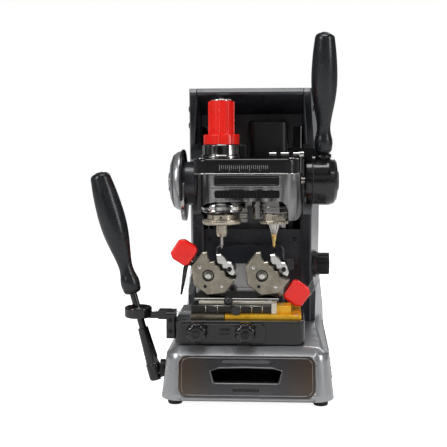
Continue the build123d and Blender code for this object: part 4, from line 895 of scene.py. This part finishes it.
# ------------------------------------------------------------------ stage, camera, lights
me = bpy.data.meshes.new("floor")
n = 48
R = 9.0
vs = [(0, 0, 0)] + [(R * math.cos(2 * math.pi * i / n), R * math.sin(2 * math.pi * i / n), 0) for i in range(n)]
me.from_pydata(vs, [], [(0, i + 1, (i + 1) % n + 1) for i in range(n)])
floor = bpy.data.objects.new("floor", me)
bpy.context.scene.collection.objects.link(floor)
fm, ft, fp_ = nt_new("pale_floor")
ftc = ft.nodes.new("ShaderNodeTexCoord")
fn = noise_node(ft, ftc.outputs["Object"], 3.0, 3.0)
ft.links.new(mixcol(ft, maprange(ft, fn, 0.0, 1.0), (0.86, 0.86, 0.86), (0.90, 0.90, 0.90)), fp_.inputs["Base Color"])
fp_.inputs["Roughness"].default_value = 0.8
fp_.inputs["Specular IOR Level"].default_value = 0.15
fp_.inputs["Emission Color"].default_value = (1, 1, 1, 1)
flp = ft.nodes.new("ShaderNodeLightPath")
fmr = ft.nodes.new("ShaderNodeMapRange")
fmr.inputs["To Min"].default_value = 0.10
fmr.inputs["To Max"].default_value = 0.86
ft.links.new(flp.outputs["Is Camera Ray"], fmr.inputs["Value"])
ft.links.new(fmr.outputs["Result"], fp_.inputs["Emission Strength"])
me.materials.append(fm)

w = bpy.data.worlds.new("studio")
bpy.context.scene.world = w
w.use_nodes = True
wt = w.node_tree
wt.nodes.clear()
wo = wt.nodes.new("ShaderNodeOutputWorld")
bg = wt.nodes.new("ShaderNodeBackground")
bg.inputs["Strength"].default_value = 0.34
tcw = wt.nodes.new("ShaderNodeTexCoord")
sp = wt.nodes.new("ShaderNodeSeparateXYZ")
wt.links.new(tcw.outputs["Generated"], sp.inputs[0])
cr = wt.nodes.new("ShaderNodeValToRGB")
cr.color_ramp.elements[0].position = 0.0
cr.color_ramp.elements[0].color = (0.75, 0.75, 0.75, 1)
cr.color_ramp.elements[1].position = 0.95
cr.color_ramp.elements[1].color = (0.55, 0.55, 0.56, 1)
for pos_, v_ in ((0.07, 0.42), (0.15, 0.20), (0.26, 0.95), (0.42, 0.85), (0.50, 0.22), (0.62, 0.30), (0.72, 0.9)):
    e = cr.color_ramp.elements.new(pos_); e.color = (v_, v_, v_ * 1.02, 1)
wt.links.new(sp.outputs["Z"], cr.inputs[0])
wn_ = wt.nodes.new("ShaderNodeTexNoise")
wn_.inputs["Scale"].default_value = 2.6
wn_.inputs["Detail"].default_value = 1.0
wt.links.new(tcw.outputs["Generated"], wn_.inputs["Vector"])
wr = wt.nodes.new("ShaderNodeMapRange")
wr.inputs["From Min"].default_value = 0.42; wr.inputs["From Max"].default_value = 0.58
wr.inputs["To Min"].default_value = 0.28; wr.inputs["To Max"].default_value = 1.5
wt.links.new(wn_.outputs["Fac"], wr.inputs["Value"])
wm = wt.nodes.new("ShaderNodeMix"); wm.data_type = "RGBA"; wm.blend_type = "MULTIPLY"
wm.inputs["Factor"].default_value = 1.0
wt.links.new(cr.outputs[0], wm.inputs[6]); wt.links.new(wr.outputs["Result"], wm.inputs[7])
wt.links.new(wm.outputs[2], bg.inputs["Color"])
bg2 = wt.nodes.new("ShaderNodeBackground")
bg2.inputs["Color"].default_value = (1.0, 1.0, 1.0, 1)
bg2.inputs["Strength"].default_value = 1.0
lp = wt.nodes.new("ShaderNodeLightPath")
mx = wt.nodes.new("ShaderNodeMixShader")
wt.links.new(lp.outputs["Is Camera Ray"], mx.inputs[0])
wt.links.new(bg.outputs[0], mx.inputs[1])
wt.links.new(bg2.outputs[0], mx.inputs[2])
wt.links.new(mx.outputs[0], wo.inputs[0])
bpy.context.scene.view_settings.view_transform = "Standard"
bpy.context.scene.view_settings.look = "None"


def area(name, loc, target, size, power, size_y=None, col=(1, 1, 1)):
    l = bpy.data.lights.new(name, "AREA")
    l.energy = power
    l.color = col
    l.shape = "RECTANGLE"
    l.size = size
    l.size_y = size_y or size
    o = bpy.data.objects.new(name, l)
    bpy.context.scene.collection.objects.link(o)
    o.location = loc
    d = Vector(target) - Vector(loc)
    o.rotation_euler = d.to_track_quat("-Z", "Y").to_euler()
    return o


area("key_left", (-1.05, -1.0, 0.95), (0, -0.05, 0.2), 0.5, 11, 1.0)
area("fill_right", (1.2, -0.8, 0.7), (0, -0.05, 0.2), 0.3, 6.5, 1.0)
area("top", (0.0, -0.25, 1.5), (0, 0, 0.2), 0.7, 8, 0.5)
area("back_rim", (0.5, 1.2, 1.0), (0, 0, 0.25), 0.6, 5, 0.6)

cam = bpy.data.cameras.new("cam")
cam.sensor_width = 36.0
cam.lens = 75.2
camo = bpy.data.objects.new("cam", cam)
bpy.context.scene.collection.objects.link(camo)
camo.location = (0.038, -1.10, 0.285)
aim = Vector((-0.06396, 0.99369, -0.09218))
camo.rotation_euler = (aim.to_track_quat("-Z", "Y").to_matrix() @ Matrix.Rotation(-0.0043, 3, "Z")).to_euler()
bpy.context.scene.camera = camo
